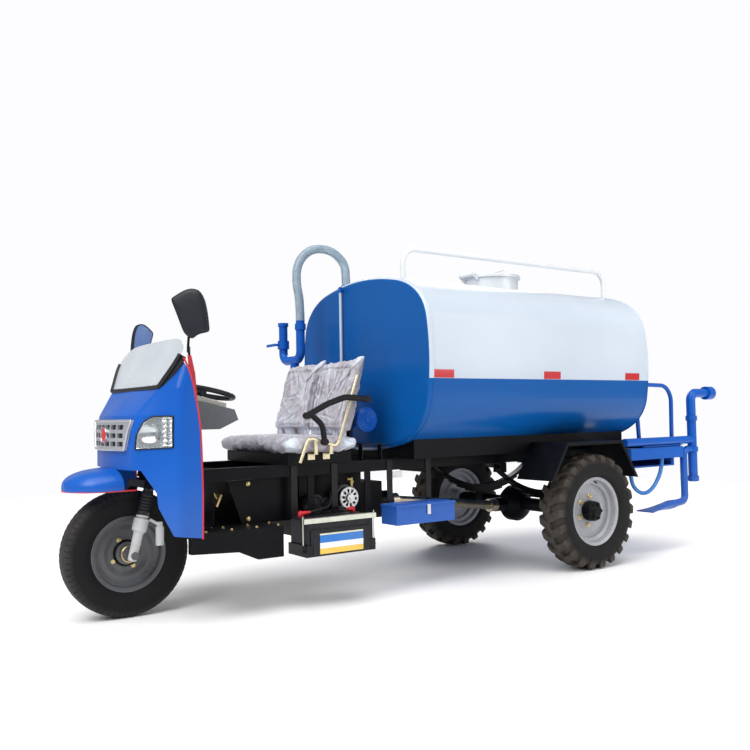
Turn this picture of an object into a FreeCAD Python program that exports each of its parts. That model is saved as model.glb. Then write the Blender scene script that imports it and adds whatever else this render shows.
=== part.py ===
import FreeCAD, Part
import os
from math import sin, cos, tan, asin, radians, pi, sqrt

V = FreeCAD.Vector
os.makedirs("parts", exist_ok=True)

# Three-wheeled water tank truck with an open cab.  Millimetres, +Z up, the
# vehicle faces -Y and its left side is +X.  The origin lies on the ground, in
# the middle of the outline seen from above.

# Whole vehicle
wheelbase = 2820.0
rear_track = 1320.0
sheet = 3.0                # thickness of the pressed sheet panels
fit = 0.3                  # gap between a panel or pad and what it is seated on
run_fit = 0.05             # radial gap between a shaft and its bearing

# Front wheel and fork
front_tyre_d = 650.0
front_tyre_w = 160.0
front_rim_d = 390.0
front_rim_w = 112.0
front_hub_d = 116.0
groove_w = 7.0             # grooves between the front tyre's ribs
groove_t = 7.0
axle_d = 24.0
rake = 14.0
steer_lock = 36.0
leg_spread = 120.0         # middle of the wheel to the middle of a fork leg
slider_d = 46.0
slider_len = 165.0
collar_d = 76.0
stanchion_d = 52.0
crown_gap = 16.0           # between the tyre and the fork crown
crown_t = 38.0
stem_d = 44.0
head_tube_d = 66.0
head_tube_len = 200.0

# Rear wheels and axle
rear_tyre_d = 740.0
rear_tyre_w = 190.0
rear_rim_d = 440.0
rear_rim_w = 140.0
rear_hub_d = 112.0
spindle_d = 60.0
axle_tube_d = 90.0
diff_d = 250.0
spring_span = 900.0
spring_w = 56.0
leaf_t = 11.0

# Frame
rail_out = 350.0           # outer face of a main rail from the middle
rail_w = 50.0
rail_top = 755.0
rail_h = 65.0
rail_front = 285.0         # behind the front axle
floor_z = 450.0
floor_front = 236.0
floor_rear = 675.0
beam_w = 40.0
beam_low = 290.0
well_half = 300.0
well_back = 362.0

# Cab shroud
shroud_half = 480.0
shroud_nose = -104.0       # foremost point of the face, behind the front axle
shroud_base = 428.0        # height of the lowest tips
face_base = 765.0          # height of the face above the fender
sill_z = 1168.0            # bottom edge of the windscreen
sill_y = 52.0
ear_z = 1320.0
glass_top = 1418.0
glass_lean = 26.0
glass_half = 358.0         # half width of the pane at its foot
glass_wide = 455.0         # and where it is widest
glass_t = 5.0
seal_w = 20.0
fender_half = 200.0
fender_tip = -316.0
fender_low = 661.0
fender_top = 772.0

# Seat
seat_half = 420.0
seat_front = 738.0
seat_back = 1178.0
seat_base_h = 60.0
cushion_t = 86.0
back_lean = 15.0
back_w = 400.0
back_h = 445.0
back_t = 80.0
back_foot = 1085.0         # front of the backrest at its foot, behind the front axle
side_rod_d = 18.0
armrest_t = 26.0
armrest_h = 34.0
armrest_up = 222.0         # armrest's rear bolt, up the slope of the backrest

# Engine and drive
engine_front = 900.0
engine_rear = 1320.0
engine_right = -200.0
engine_left = 250.0
engine_low = 380.0
engine_top = 700.0
gearbox_len = 380.0
shaft_d = 60.0

# Battery and toolbox
battery_x = 402.0
battery_w = 176.0
battery_y = 760.0
battery_l = 410.0
battery_z = 290.0
battery_h = 180.0
box_x = 362.0
box_w = 150.0
box_y = 1385.0
box_l = 430.0
box_z = 385.0
box_h = 100.0

# Tank
pump_set = 157.0           # pump's shaft behind the seat
tank_set = 161.0           # tank's front head behind the pump's shaft
tank_front = seat_back + pump_set + tank_set
tank_len = 1965.0
tank_half = 703.0
tank_low = 800.0
tank_h = 1070.0
tank_side_r = 1500.0
tank_top_r = 1800.0
tank_edge_r = 24.0
manhole_y = tank_front + 1140
manhole_d = 380.0
neck_stands = 95.0         # manhole flange above the tank's top
manhole_z = tank_low + tank_h + neck_stands
lid_t = 10.0
hand_x = 350.0
hand_front = tank_front + 89
hand_rear = tank_front + tank_len - 41
hand_z = tank_low + tank_h + 152
hand_d = 32.0
lid_open = 110.0

# Rear platform and pipes
deck_room = 464.0          # platform behind the tank's rear head
deck_rear = tank_front + tank_len + deck_room
deck_half = 625.0
deck_front = tank_front + tank_len - 131
pipe_d = 58.0
riser_d = 66.0
riser_y = deck_rear + 147
mouth_reach = 253.0        # spray mouth behind its riser
overall_length = front_tyre_d / 2 + riser_y + mouth_reach
riser_x = 600.0
mouth_d = 100.0
guard_d = 30.0
guard_out = 775.0
guard_top = 820.0

front_y = -overall_length / 2 + front_tyre_d / 2
front_z = front_tyre_d / 2
rail_rear = deck_rear - 20
rear_y = front_y + wheelbase
rear_z = rear_tyre_d / 2
half_track = rear_track / 2
floor_half = shroud_half - sheet - fit


def at(d):
    """Y of a station given as its distance behind the front axle."""
    return front_y + d


def box(x0, x1, y0, y1, z0, z1):
    return Part.makeBox(x1 - x0, y1 - y0, z1 - z0, V(x0, y0, z0))


def rod(a, b, d):
    a, b = V(*a), V(*b)
    return Part.makeCylinder(d / 2, (b - a).Length, a, b - a)


def side_prism(points, x0, x1):
    """Outline in the side view, (y, z), drawn out along X."""
    w = Part.makePolygon([V(x0, y, z) for y, z in points] + [V(x0, points[0][0], points[0][1])])
    return Part.Face(w).extrude(V(x1 - x0, 0, 0))


def front_prism(points, y0, y1):
    """Outline in the front view, (x, z), drawn out along Y."""
    w = Part.makePolygon([V(x, y0, z) for x, z in points] + [V(points[0][0], y0, points[0][1])])
    return Part.Face(w).extrude(V(0, y1 - y0, 0))


def top_prism(points, z0, z1):
    """Outline seen from above, (x, y), drawn out along Z."""
    w = Part.makePolygon([V(x, y, z0) for x, y in points] + [V(points[0][0], points[0][1], z0)])
    return Part.Face(w).extrude(V(0, 0, z1 - z0))


def turned(points, centre, axis=V(1, 0, 0)):
    """Turned piece: (place along the axis, radius) outline, round the axis."""
    w = Part.makePolygon([V(a, 0, r) for a, r in points] + [V(points[0][0], 0, points[0][1])])
    s = Part.Face(w).revolve(V(0, 0, 0), V(1, 0, 0), 360)
    s.Placement = FreeCAD.Placement(V(*centre), FreeCAD.Rotation(V(1, 0, 0), axis))
    return s


def bent_path(points, radius):
    """Straight runs joined by tangent arcs."""
    p = [V(*q) for q in points]
    edges, last = [], p[0]
    for i in range(1, len(p) - 1):
        a, b = (p[i - 1] - p[i]).normalize(), (p[i + 1] - p[i]).normalize()
        half = a.getAngle(b) / 2
        r = radius[i - 1] if isinstance(radius, list) else radius
        cut = r / tan(half)
        s, e = p[i] + a * cut, p[i] + b * cut
        mid = (a + b).normalize()
        centre = p[i] + mid * (r / sin(half))
        m = centre - mid * r
        if (s - last).Length > 0.01:
            edges.append(Part.LineSegment(last, s).toShape())
        edges.append(Part.Arc(s, m, e).toShape())
        last = e
    edges.append(Part.LineSegment(last, p[-1]).toShape())
    return Part.Wire(edges)


def bent_tube(points, d, radius, bore=0.0):
    path = bent_path(points, radius)
    a, b = V(*points[0]), V(*points[1])
    ring = Part.Wire(Part.makeCircle(d / 2, a, b - a))
    s = path.makePipeShell([ring], True, False)
    if bore:
        ring = Part.Wire(Part.makeCircle(bore / 2, a, b - a))
        s = s.cut(path.makePipeShell([ring], True, False))
    return s


def flat_ring(a, along, wide, high, r):
    """Closed wire of a bar's section at a: wide along X, its corners rounded."""
    u, n = V(1, 0, 0), V(along).normalize()
    v = n.cross(u)
    w, h, k = wide / 2, high / 2, r * (1 - sqrt(0.5))

    def p(i, j):
        return V(a) + u * i + v * j

    edges = []
    for i, j in ((1, -1), (1, 1), (-1, 1), (-1, -1)):
        side, end = p(i * w, j * (h - r)), p(i * (w - r), j * h)
        edges.append(Part.Arc(end, p(i * (w - k), j * (h - k)), side) if i * j < 0 else Part.Arc(side, p(i * (w - k), j * (h - k)), end))
    lines = [Part.LineSegment(edges[n].EndPoint, edges[(n + 1) % 4].StartPoint) for n in range(4)]
    return Part.Wire([e.toShape() for q in zip(edges, lines) for e in q])


def bent_bar(points, wide, high, radius):
    """Bar of a flat rounded section along runs that lie in one plane across X."""
    ring = flat_ring(V(*points[0]), V(*points[1]) - V(*points[0]), wide, high, min(wide, high) * 0.42)
    return bent_path(points, radius).makePipeShell([ring], True, False)


def across(s):
    return s.mirror(V(0, 0, 0), V(1, 0, 0))


def pair(s):
    return [s, across(s)]


def joined(shapes):
    s = shapes[0]
    for t in shapes[1:]:
        s = s.fuse(t)
    return s.removeSplitter()


pieces = {}


def keep(name, solids):
    pieces[name] = solids if isinstance(solids, list) else [solids]


# Front wheel: tubed tyre on a disc rim, bolted to a hub that runs on the fork's
# through axle.
def tyre(d, w, rim_d, rim_w, grooves=()):
    """Closed ring of rubber: beads on the rim, full sidewalls, rounded crown with its grooves."""
    ro, rb = d / 2, rim_d / 2 - 16
    h = ro - rb
    half = [(rim_w / 2 - 14, rb), (rim_w / 2 - 3, rb + 6), (rim_w / 2, rb + 20),
            (w / 2 - 3, rb + 0.38 * h), (w / 2, rb + 0.55 * h), (w / 2 - 3, rb + 0.72 * h),
            (w / 2 - 14, ro - 14), (w / 2 - 30, ro - 4), (w / 2 - 52, ro)]
    inner = [(rim_w / 2 - 26, rb), (w / 2 - 18, rb + 0.45 * h), (w / 2 - 26, rb + 0.7 * h)]
    outline = list(half)
    for a in grooves:
        outline += [(a + groove_w / 2, ro), (a + groove_w / 3, ro - groove_t), (a - groove_w / 3, ro - groove_t), (a - groove_w / 2, ro)]
    outline += [(-a, r) for a, r in reversed(half)]
    outline += [(-a, r) for a, r in inner] + [(a, r) for a, r in reversed(inner)]
    return outline


def rim(d, w, disc_at, disc_r, bolt_r, seat_r):
    """Well-base rim with its dished disc, one turned outline."""
    r = d / 2
    seat = r - 16 - fit
    out = [(w / 2, r), (w / 2 + 4, r), (w / 2 + 4, r - 5), (w / 2 - 4, seat - 4), (w / 4, seat - 10),
           (w / 4 - 8, seat - 30), (disc_at + 12, seat - 34), (disc_at + 16, disc_r), (disc_at + 6, bolt_r + 26),
           (disc_at + 6, seat_r), (disc_at, seat_r), (disc_at, bolt_r + 24), (disc_at + 8, disc_r),
           (disc_at - 4, seat - 34), (-w / 4 + 4, seat - 34), (-w / 4 - 6, seat - 10),
           (-w / 2 + 4, seat - 4), (-w / 2 - 4, r - 5), (-w / 2 - 4, r), (-w / 2, r),
           (-w / 2 + 1, seat), (-w / 4 - 2, seat - 2), (-w / 4 + 6, seat - 26), (w / 4 - 12, seat - 26),
           (w / 4 + 2, seat - 2), (w / 2 - 1, seat)]
    return out


axle_at = (0, front_y, front_z)
rib_step = (front_tyre_w - 104) / 3
keep("front_tyre", turned(tyre(front_tyre_d, front_tyre_w, front_rim_d, front_rim_w, (rib_step, 0, -rib_step)), axle_at))
front_seat_r = front_hub_d / 2 + fit
front_rim = turned(rim(front_rim_d, front_rim_w, 6, 120, 70, front_seat_r), axle_at)
hub_half = leg_spread - slider_d / 2 - 3
hub_bore = axle_d / 2 + run_fit
flange_r = 88.0
front_hub = turned([(-hub_half, hub_bore), (-hub_half, 34), (-60, 40), (-50, front_hub_d / 2),
                          (-12, front_hub_d / 2), (-12, flange_r), (6 - fit, flange_r),
                          (6 - fit, front_hub_d / 2), (30, front_hub_d / 2), (34, 44), (60, 40),
                          (hub_half, 36), (hub_half, hub_bore)], axle_at)
keep("front_wheel", [front_rim, front_hub])

# Fork: two spring legs on a through axle, tied by the crown, with the stem that
# turns in the head tube.  The steering line passes through the wheel's axle.
lean = V(0, sin(radians(rake)), cos(radians(rake)))


def up_fork(s, x=0.0, back=0.0):
    """Point at the distance s from the axle up the steering line."""
    q = V(*axle_at) + lean * s + V(0, cos(radians(rake)), -sin(radians(rake))) * back
    return (x, q.y, q.z)


slider_top = 22 + slider_len
crown_low = front_tyre_d / 2 + crown_gap
crown_top = crown_low + crown_t
keep("front_axle", joined([rod((-leg_spread - 34, front_y, front_z), (leg_spread + 34, front_y, front_z), axle_d),
                           rod((-leg_spread - 34, front_y, front_z), (-leg_spread - slider_d / 2 - fit, front_y, front_z), 38),
                           rod((leg_spread + 34, front_y, front_z), (leg_spread + slider_d / 2 + fit, front_y, front_z), 38)]))


def slider():
    a, b = up_fork(-30, leg_spread), up_fork(slider_top, leg_spread)
    s = turned([(0, 0), (0, slider_d / 2 - 6), (8, slider_d / 2), (slider_len - 20, slider_d / 2 + 2),
                (slider_len - 8, collar_d / 2), (slider_top + 30, collar_d / 2), (slider_top + 38, slider_d / 2),
                (slider_top + 38, 0)], a, lean)
    return s.cut(rod((leg_spread - 60, front_y, front_z), (leg_spread + 60, front_y, front_z), axle_d + 2 * fit))


stanchion_low = slider_top + 8 + fit
stanchions = pair(joined([
    rod(up_fork(stanchion_low, leg_spread), up_fork(crown_low - fit, leg_spread), stanchion_d),
    rod(up_fork(stanchion_low, leg_spread), up_fork(stanchion_low + 30, leg_spread), stanchion_d + 12)]))
damper_x = leg_spread + 34
dampers = pair(joined([
    rod((damper_x, at(128), 368), (damper_x, at(128), 462), 42),
    rod((damper_x, at(128), 462), (damper_x, at(128), 486), 30),
    rod((damper_x, at(128), 470), (leg_spread + 4, at(84), 500), 16)]).cut(
        rod(up_fork(slider_top - 50, leg_spread), up_fork(crown_low, leg_spread), collar_d + 2 * fit)))
keep("fork_legs", pair(slider()) + stanchions + dampers)
crown = top_prism([(-leg_spread, -29), (leg_spread, -29), (leg_spread, 29), (-leg_spread, 29)], 0, crown_t)
for sx in (-1, 1):
    crown = crown.fuse(Part.makeCylinder(29, crown_t, V(sx * leg_spread, 0, 0)))
crown = crown.fuse(Part.makeCylinder(stem_d / 2, head_tube_len + 26, V(0, 0, crown_t))).removeSplitter()
crown = crown.fuse(Part.makeCylinder(36, 12, V(0, 0, crown_t)))
crown.Placement = FreeCAD.Placement(V(*up_fork(crown_low)), FreeCAD.Rotation(V(1, 0, 0), -rake))
keep("fork_crown", crown.removeSplitter())

# Head of the frame: tube for the stem, with plates down to a cross-member that
# ties the fronts of the two rails.
head_low = crown_top + 12 + 5
rail_z = rail_top - rail_h
head = rod(up_fork(head_low), up_fork(head_low + head_tube_len), head_tube_d)
cross_front, cross_back = at(rail_front - 50), at(rail_front) - fit
cross = box(-rail_out, rail_out, cross_front, cross_back, rail_z, rail_top)
neck = side_prism([(at(118), 760), (at(150), 880), (cross_back, 880), (cross_back, rail_z + 10), (cross_front + 10, rail_z + 10),
                   (cross_front + 10, 725)], -38, -28)
cowl_low = 955.0
post = side_prism([(cross_front, 870), (cross_back, 870), (cross_back + 60, cowl_low), (cross_back + 20, cowl_low)], -38, -28)
head = joined([head, cross, neck, across(neck), post, across(post)])
head = head.cut(rod(up_fork(head_low - 20), up_fork(head_low + head_tube_len + 40), stem_d + 2 * run_fit))
keep("frame_head", head)

# Main rails, run from the cab to the rear platform.
keep("chassis_rails", pair(box(rail_out - rail_w, rail_out, at(rail_front), at(rail_rear), rail_z, rail_top)))

# Cab floor with its side beams, and the well that the front wheel turns in.
floor = box(-floor_half, floor_half, at(floor_front), at(floor_rear), floor_z - sheet, floor_z)
floor = floor.cut(box(-well_half, well_half, at(floor_front) - 1, at(well_back) - fit, floor_z - 10, floor_z + 10))
beam = side_prism([(at(165), 352), (at(423), 338), (at(528), beam_low), (at(floor_rear), beam_low),
                   (at(floor_rear), floor_z - sheet - fit), (at(165), floor_z - sheet - fit)],
                  floor_half - beam_w, floor_half)
keep("cab_floor", [floor] + pair(beam))
well = box(-well_half, well_half, at(well_back), at(well_back) + sheet, floor_z + fit, rail_top)
well = well.fuse(box(-well_half, well_half, at(well_back), at(well_back) + 40, rail_z - 5, rail_z))
keep("toe_board", well.cut(box(rail_out - rail_w - fit, rail_out, front_y, rear_y, rail_z - 6, rail_top + 5)).cut(
    across(box(rail_out - rail_w - fit, rail_out, front_y, rear_y, rail_z - 6, rail_top + 5))))
cover = side_prism([(at(440), rail_z - 6), (at(858), rail_z - 6), (at(858), floor_z + fit), (at(floor_rear) + 8, floor_z + fit),
                    (at(524), floor_z + fit)], -well_half, well_half)
keep("engine_cover", cover)

# Cab shroud: one pressed shell with a bowed face, flanks and two ears beside
# the windscreen.
def parallel(points, off):
    """Open outline moved outward by the value, corner by corner."""
    out = []
    for i, (x, y) in enumerate(points):
        a = points[max(i - 1, 0)]
        b = points[min(i + 1, len(points) - 1)]
        u = V(x - a[0], y - a[1], 0) if i else V(b[0] - x, b[1] - y, 0)
        w = V(b[0] - x, b[1] - y, 0) if i < len(points) - 1 else u
        u, w = u.normalize(), w.normalize()
        n = V(u.y, -u.x, 0) + V(w.y, -w.x, 0)
        k = 2 * off / (n.Length * n.Length) if n.Length else 0
        out.append((x + n.x * k, y + n.y * k))
    return out


def shroud_skin(off):
    """Closed body inside the face and flanks, set off outward by the value."""
    face_w = 0.62 * shroud_half
    rows = [(shroud_base - 80, shroud_nose, face_w, -56, 106), (960, shroud_nose, face_w, -56, 106),
            (1036, shroud_nose + 12, face_w, -44, 106), (sill_z, sill_y - 10, glass_half, sill_y - 5, 112),
            (ear_z + 70, sill_y + 96, 420, sill_y + 102, 166)]
    wires = []
    for z, nose, side_w, side, corner in rows:
        half = [(-shroud_half, at(330)), (-shroud_half, at(corner)), (-side_w, at(side)), (0, at(nose))]
        pts = parallel(half + [(-x, y) for x, y in reversed(half[:-1])], off)
        path = bent_path([(x, y, z) for x, y in pts], [60 + off, 70 + off, 900 + off, 70 + off, 60 + off])
        wires.append(Part.Wire(path.Edges + [Part.LineSegment(V(pts[-1][0], pts[-1][1], z), V(pts[0][0], pts[0][1], z)).toShape()]))
    return Part.makeLoft(wires, True, True)


side_view = [(128, ear_z), (163, 1242), (194, 1107), (213, 984), (222, 799), (226, 664), (224, shroud_base), (86, shroud_base + 20),
             (32, 584), (26, 655), (-30, face_base), (-300, face_base), (-300, sill_z), (sill_y, sill_z), (122, ear_z)]
profile = side_prism([(at(y), z) for y, z in side_view], -shroud_half - 20, shroud_half + 20)
outer, inner = shroud_skin(0), shroud_skin(-sheet)
shell = outer.cut(inner).common(profile)
lamp_out = [(304, 868), (458, 876), (458, 1030), (372, 1030), (334, 1002), (310, 936)]


def grown(points, g):
    cx = sum(p[0] for p in points) / len(points)
    cz = sum(p[1] for p in points) / len(points)
    return [(x + (g if x > cx else -g), z + (g if z > cz else -g)) for x, z in points]


lamp_cut = front_prism(grown(lamp_out, fit), at(-200), at(330))
shell = shell.cut(lamp_cut).cut(across(lamp_cut))
lamp_body = shroud_skin(4).cut(shroud_skin(-30))
keep("headlights", pair(lamp_body.common(front_prism(lamp_out, at(-200), at(330)))))
grille_out = [(-226, 862), (226, 862), (286, 1012), (-286, 1012)]
grille = shroud_skin(14).cut(shroud_skin(fit)).common(front_prism(grille_out, at(-200), at(60)))
badge_d = 84.0
for row in range(3):
    z = 882 + row * 42
    for col in range(-3, 3):
        slot = box(col * 74 + 8, col * 74 + 66, at(-200), at(60), z, z + 24)
        grille = grille.cut(slot.cut(rod((0, at(-250), 937), (0, at(100), 937), badge_d)))
keep("grille", grille)

# Windscreen: a flat pane that leans back, in a rubber strip on the shroud's edge.
pane_y, pane_z = at(sill_y + 14), sill_z + 2
pane_h = (glass_top - pane_z) / cos(radians(glass_lean))
half_pane = [(glass_half, 0), (glass_half + 14, 20), (glass_wide - 35, 90), (glass_wide - 3, 150), (glass_wide, 175),
             (glass_wide - 15, pane_h - 61), (glass_wide - 55, pane_h - 30), (glass_wide - 125, pane_h - 8), (glass_wide - 205, pane_h)]
pane_line = half_pane + [(-x, t) for x, t in reversed(half_pane)]


def leaning(s):
    """Put a piece drawn upright at the foot of the pane into the pane's plane."""
    s.Placement = FreeCAD.Placement(V(0, pane_y, pane_z), FreeCAD.Rotation(V(1, 0, 0), -glass_lean))
    return s


def pane_plate(grow, t):
    w = Part.makePolygon([V(x, -t / 2, z) for x, z in pane_line + pane_line[:1]])
    if grow:
        w = w.makeOffset2D(grow)
    return Part.Face(w).extrude(V(0, t, 0))


keep("windscreen", leaning(pane_plate(0, glass_t)))
keep("cab_shroud", shell.cut(leaning(pane_plate(fit, glass_t + 2 * fit))))
strip = pane_plate(seal_w - 4, 18).cut(pane_plate(-6, 40)).cut(pane_plate(fit, glass_t + 2 * fit))
strip = leaning(strip.cut(box(-900, 900, -50, 50, 168, 900)))
strip = strip.cut(shroud_skin(fit).cut(shroud_skin(-sheet - fit)).common(profile))
keep("windscreen_seal", [t for t in strip.Solids if t.Volume > 2000])

# Front fender: a short beak on the face, open below over the tyre.
def beak(off):
    rows = [(60, 1.0, 0.0), (-40, 1.0, 0.0), (-150, 0.97, 8.0), (-230, 0.80, 22.0), (-285, 0.52, 44.0), (fender_tip + off, 0.12, 66.0)]
    wires = []
    for d, width, drop in rows:
        w = fender_half * width - off
        top = fender_top - drop - off
        low = fender_low - 30 if off else fender_low
        p = [V(-w, at(d), low), V(-w, at(d), low + 0.35 * (top - low)), V(-0.72 * w, at(d), low + 0.86 * (top - low)),
             V(0, at(d), top), V(0.72 * w, at(d), low + 0.86 * (top - low)), V(w, at(d), low + 0.35 * (top - low)), V(w, at(d), low)]
        c = Part.BSplineCurve()
        c.interpolate(p)
        wires.append(Part.Wire([c.toShape(), Part.LineSegment(p[-1], p[0]).toShape()]))
    return Part.makeLoft(wires, True, False)


fender = beak(0).cut(beak(sheet))
fender = fender.cut(shroud_skin(fit)).common(box(-300, 300, at(-400), at(26), fender_low, 900))
keep("front_fender", [s for s in fender.Solids if s.Volume > 1000])

# Windscreen posts and mirrors.
post_x = shroud_half - sheet - fit - 34
post_top = 1330.0
posts = side_prism([(at(180), 1100), (at(216), 1100), (at(204), 1240), (at(184), post_top), (at(166), post_top), (at(172), 1240)], post_x, post_x + 5)
posts = posts.fuse(side_prism([(at(182), 1100), (at(190), 1100), (at(182), 1165), (at(178), 1165)], post_x, shroud_half - sheet - fit))
keep("windscreen_posts", pair(posts.removeSplitter()))


def mirror(x, y, z, turn, foot):
    w, h, t = 92.0, 122.0, 34.0
    s = front_prism([(-w + 22, -h), (w - 34, -h + 8), (w - 6, -h + 60), (w, h - 30), (w - 20, h), (-w + 26, h),
                     (-w, h - 34), (-w, -h + 40)], -t / 2, t / 2)
    s = s.makeFillet(9, s.Edges)
    s.Placement = FreeCAD.Placement(V(x, y, z), FreeCAD.Rotation(V(0, 0, 1), turn))
    arm = bent_tube([foot, (foot[0], foot[1], foot[2] + 46), (x * 0.97, y, z - h - 26), (x * 0.97, y, z - h + 14)], 13, 16)
    return s, arm


post_head = (post_x + 2.5, at(175), post_top + fit)
left_shell, left_arm = mirror(560, at(132), 1523, 50, post_head)
right_shell, right_arm = mirror(-560, at(290), 1466, -60, (-post_head[0], post_head[1], post_head[2]))
keep("mirrors", [joined([left_shell, left_arm]), joined([right_shell, right_arm])])

# Steering column, its gear case and the wheel; dash cowl round the column.
wheel_y, wheel_z, col_lean, wheel_r, wheel_rim = 420.0, 1163.0, 12.0, 200.0, 28.0
col = V(0, sin(radians(col_lean)), cos(radians(col_lean)))


def down_col(s):
    q = V(0, at(wheel_y), wheel_z) - col * s
    return (q.x, q.y, q.z)


gear = box(-50, 50, cross_back + fit, cross_back + 110, rail_top + 6, rail_top + 86)
gear = joined([gear, rod(down_col(400), down_col(330), 60)])
column = rod(down_col(330 - fit), down_col(60), 46)
dash = side_prism([(at(268), 1118), (at(364), 1103), (at(540), 1060), (at(562), 1004), (at(452), cowl_low + fit), (at(250), cowl_low + fit)], -190, 190)
dash = dash.cut(rod(down_col(360), down_col(0), 46 + 2 * fit))
keep("dash_cowl", dash)
sw = Part.makeTorus(wheel_r - wheel_rim / 2, wheel_rim / 2, V(0, 0, 0), V(0, 0, 1))
sw = sw.fuse(Part.makeCylinder(38, 46, V(0, 0, -34)))
for k in range(3):
    a = radians(90 + 120 * k)
    spoke = rod((30 * cos(a), 30 * sin(a), -10), ((wheel_r - 14) * cos(a), (wheel_r - 14) * sin(a), 0), 16)
    sw = sw.fuse(spoke)
sw = sw.cut(Part.makeCylinder(10 + run_fit, 60, V(0, 0, -60)))
sw.Placement = FreeCAD.Placement(V(0, at(wheel_y), wheel_z), FreeCAD.Rotation(V(1, 0, 0), -col_lean))
keep("steering_wheel", sw)
keep("steering_column", [gear, joined([column, rod(down_col(60), down_col(10), 20)])])

# Pedals on the toe board.
pedal_list = []
for x in (-90, 60, 200):
    arm = bent_tube([(x, at(well_back) + sheet + fit, 640), (x, at(well_back) + 34, 640), (x, at(well_back) + 62, 585)], 14, 14)
    pad = box(x - 26, x + 26, -5, 5, -34, 34)
    pad.Placement = FreeCAD.Placement(V(0, at(well_back) + 66, 578), FreeCAD.Rotation(V(1, 0, 0), -24))
    pedal_list.append(joined([arm, pad]))
keep("pedals", pedal_list)

# Seat: base frame on the rails, one long cushion and two backrests on a tube frame.
base_z = rail_top + fit
cushion_z = base_z + seat_base_h + fit
seat_in = 40.0
base = box(-seat_half + seat_in, seat_half - seat_in, at(seat_front) + 24, at(seat_back) - 12, base_z, base_z + seat_base_h)
base = base.cut(box(-seat_half + seat_in + 4, seat_half - seat_in - 4, at(seat_front) + 28, at(seat_back) - 16, base_z - 1, base_z + seat_base_h - 4))
cushion = box(-seat_half, seat_half, at(seat_front), at(seat_back), cushion_z, cushion_z + cushion_t)
keep("seat_cushion", cushion.makeFillet(26, cushion.Edges))
back_z = cushion_z + cushion_t + 16
backs = box(6, 6 + back_w, 0, back_t, 0, back_h)
backs = backs.makeFillet(26, backs.Edges)
backs.Placement = FreeCAD.Placement(V(0, at(back_foot), back_z), FreeCAD.Rotation(V(1, 0, 0), -back_lean))
keep("seat_backs", pair(backs))


def behind_back(up, d):
    """Point behind the backrest: up its slope, and d behind its rear face."""
    a = radians(back_lean)
    return (at(back_foot) + up * sin(a) + (back_t + d) * cos(a), back_z + up * cos(a) - (back_t + d) * sin(a))


tube_r = 14.0
frame_tubes = []
lo, hi = behind_back(60, tube_r + fit), behind_back(back_h - 60, tube_r + fit)
foot_y = at(seat_back) + tube_r + fit
hoop_x = rail_out - rail_w / 2
hoop = bent_tube([(hoop_x, foot_y, rail_top + fit), (hoop_x, foot_y, lo[1] - 30), (hoop_x, hi[0], hi[1]), (0, hi[0], hi[1])], 2 * tube_r, 60)
low_bar = behind_back(160, tube_r + fit)
bar = rod((-hoop_x, *low_bar), (hoop_x, *low_bar), 2 * tube_r)
keep("seat_frame", [base, joined([hoop, across(hoop), bar])])

# Armrest on the left: a bent side rod held off the seat base on two posts, and
# a forked arm bolted to that rod in front and to the backrest's tube behind.
rod_x = seat_half + 2 + side_rod_d / 2
rod_low = cushion_z + cushion_t / 2
rod_runs = [(seat_back - 373, rod_low - 93), (seat_back - 318, rod_low + 42), (seat_back - 133, rod_low - 12), (seat_back + 5, rod_low + 383)]
side_rod = bent_tube([(rod_x, at(y), z) for y, z in rod_runs], side_rod_d, 34)
run_fall = (rod_runs[2][1] - rod_runs[1][1]) / (rod_runs[2][0] - rod_runs[1][0])


def on_run(y):
    """Height of the rod's flat run at the station y."""
    return rod_runs[1][1] + (y - rod_runs[1][0]) * run_fall


for y in (rod_runs[1][0] + 44, rod_runs[2][0] - 44):
    tab_x, tab_z = seat_half - seat_in + fit, cushion_z - fit - 4
    side_rod = joined([side_rod, box(tab_x, tab_x + 4, at(y) - 22, at(y) + 22, tab_z - 34, tab_z),
                       box(tab_x, rod_x + 5, at(y) - 14, at(y) + 14, tab_z - 4, tab_z),
                       box(rod_x - 5, rod_x + 5, at(y) - 10, at(y) + 10, tab_z - 4, on_run(y))])
boss_t = armrest_t + 2
arm_x = rod_x + side_rod_d / 2 + fit + boss_t / 2
bolt_y, bolt_z = behind_back(armrest_up, tube_r + fit)
arm_low_y = seat_back - 230
upper = [(bolt_y, bolt_z), (at(seat_back - 92), bolt_z + 12), (at(seat_back - 210), bolt_z - 26), (at(seat_back - 340), bolt_z - 88)]
lower = [(at(seat_back - 318), bolt_z - 78), (at(seat_back - 244), bolt_z - 140), (at(arm_low_y), on_run(arm_low_y))]
arm = joined([bent_bar([(arm_x, y, z) for y, z in upper], armrest_t, armrest_h, 150),
              bent_bar([(arm_x, y, z) for y, z in lower], armrest_t - 3, armrest_h - 3, 70)])
for y, z in (upper[0], upper[-1], lower[-1]):
    arm = arm.fuse(rod((arm_x - boss_t / 2, y, z), (arm_x + boss_t / 2, y, z), armrest_h + 4))
arm = arm.fuse(rod((hoop_x + tube_r + fit, *upper[0]), (arm_x, *upper[0]), 16))
keep("armrest", [side_rod, arm.removeSplitter()])

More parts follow.
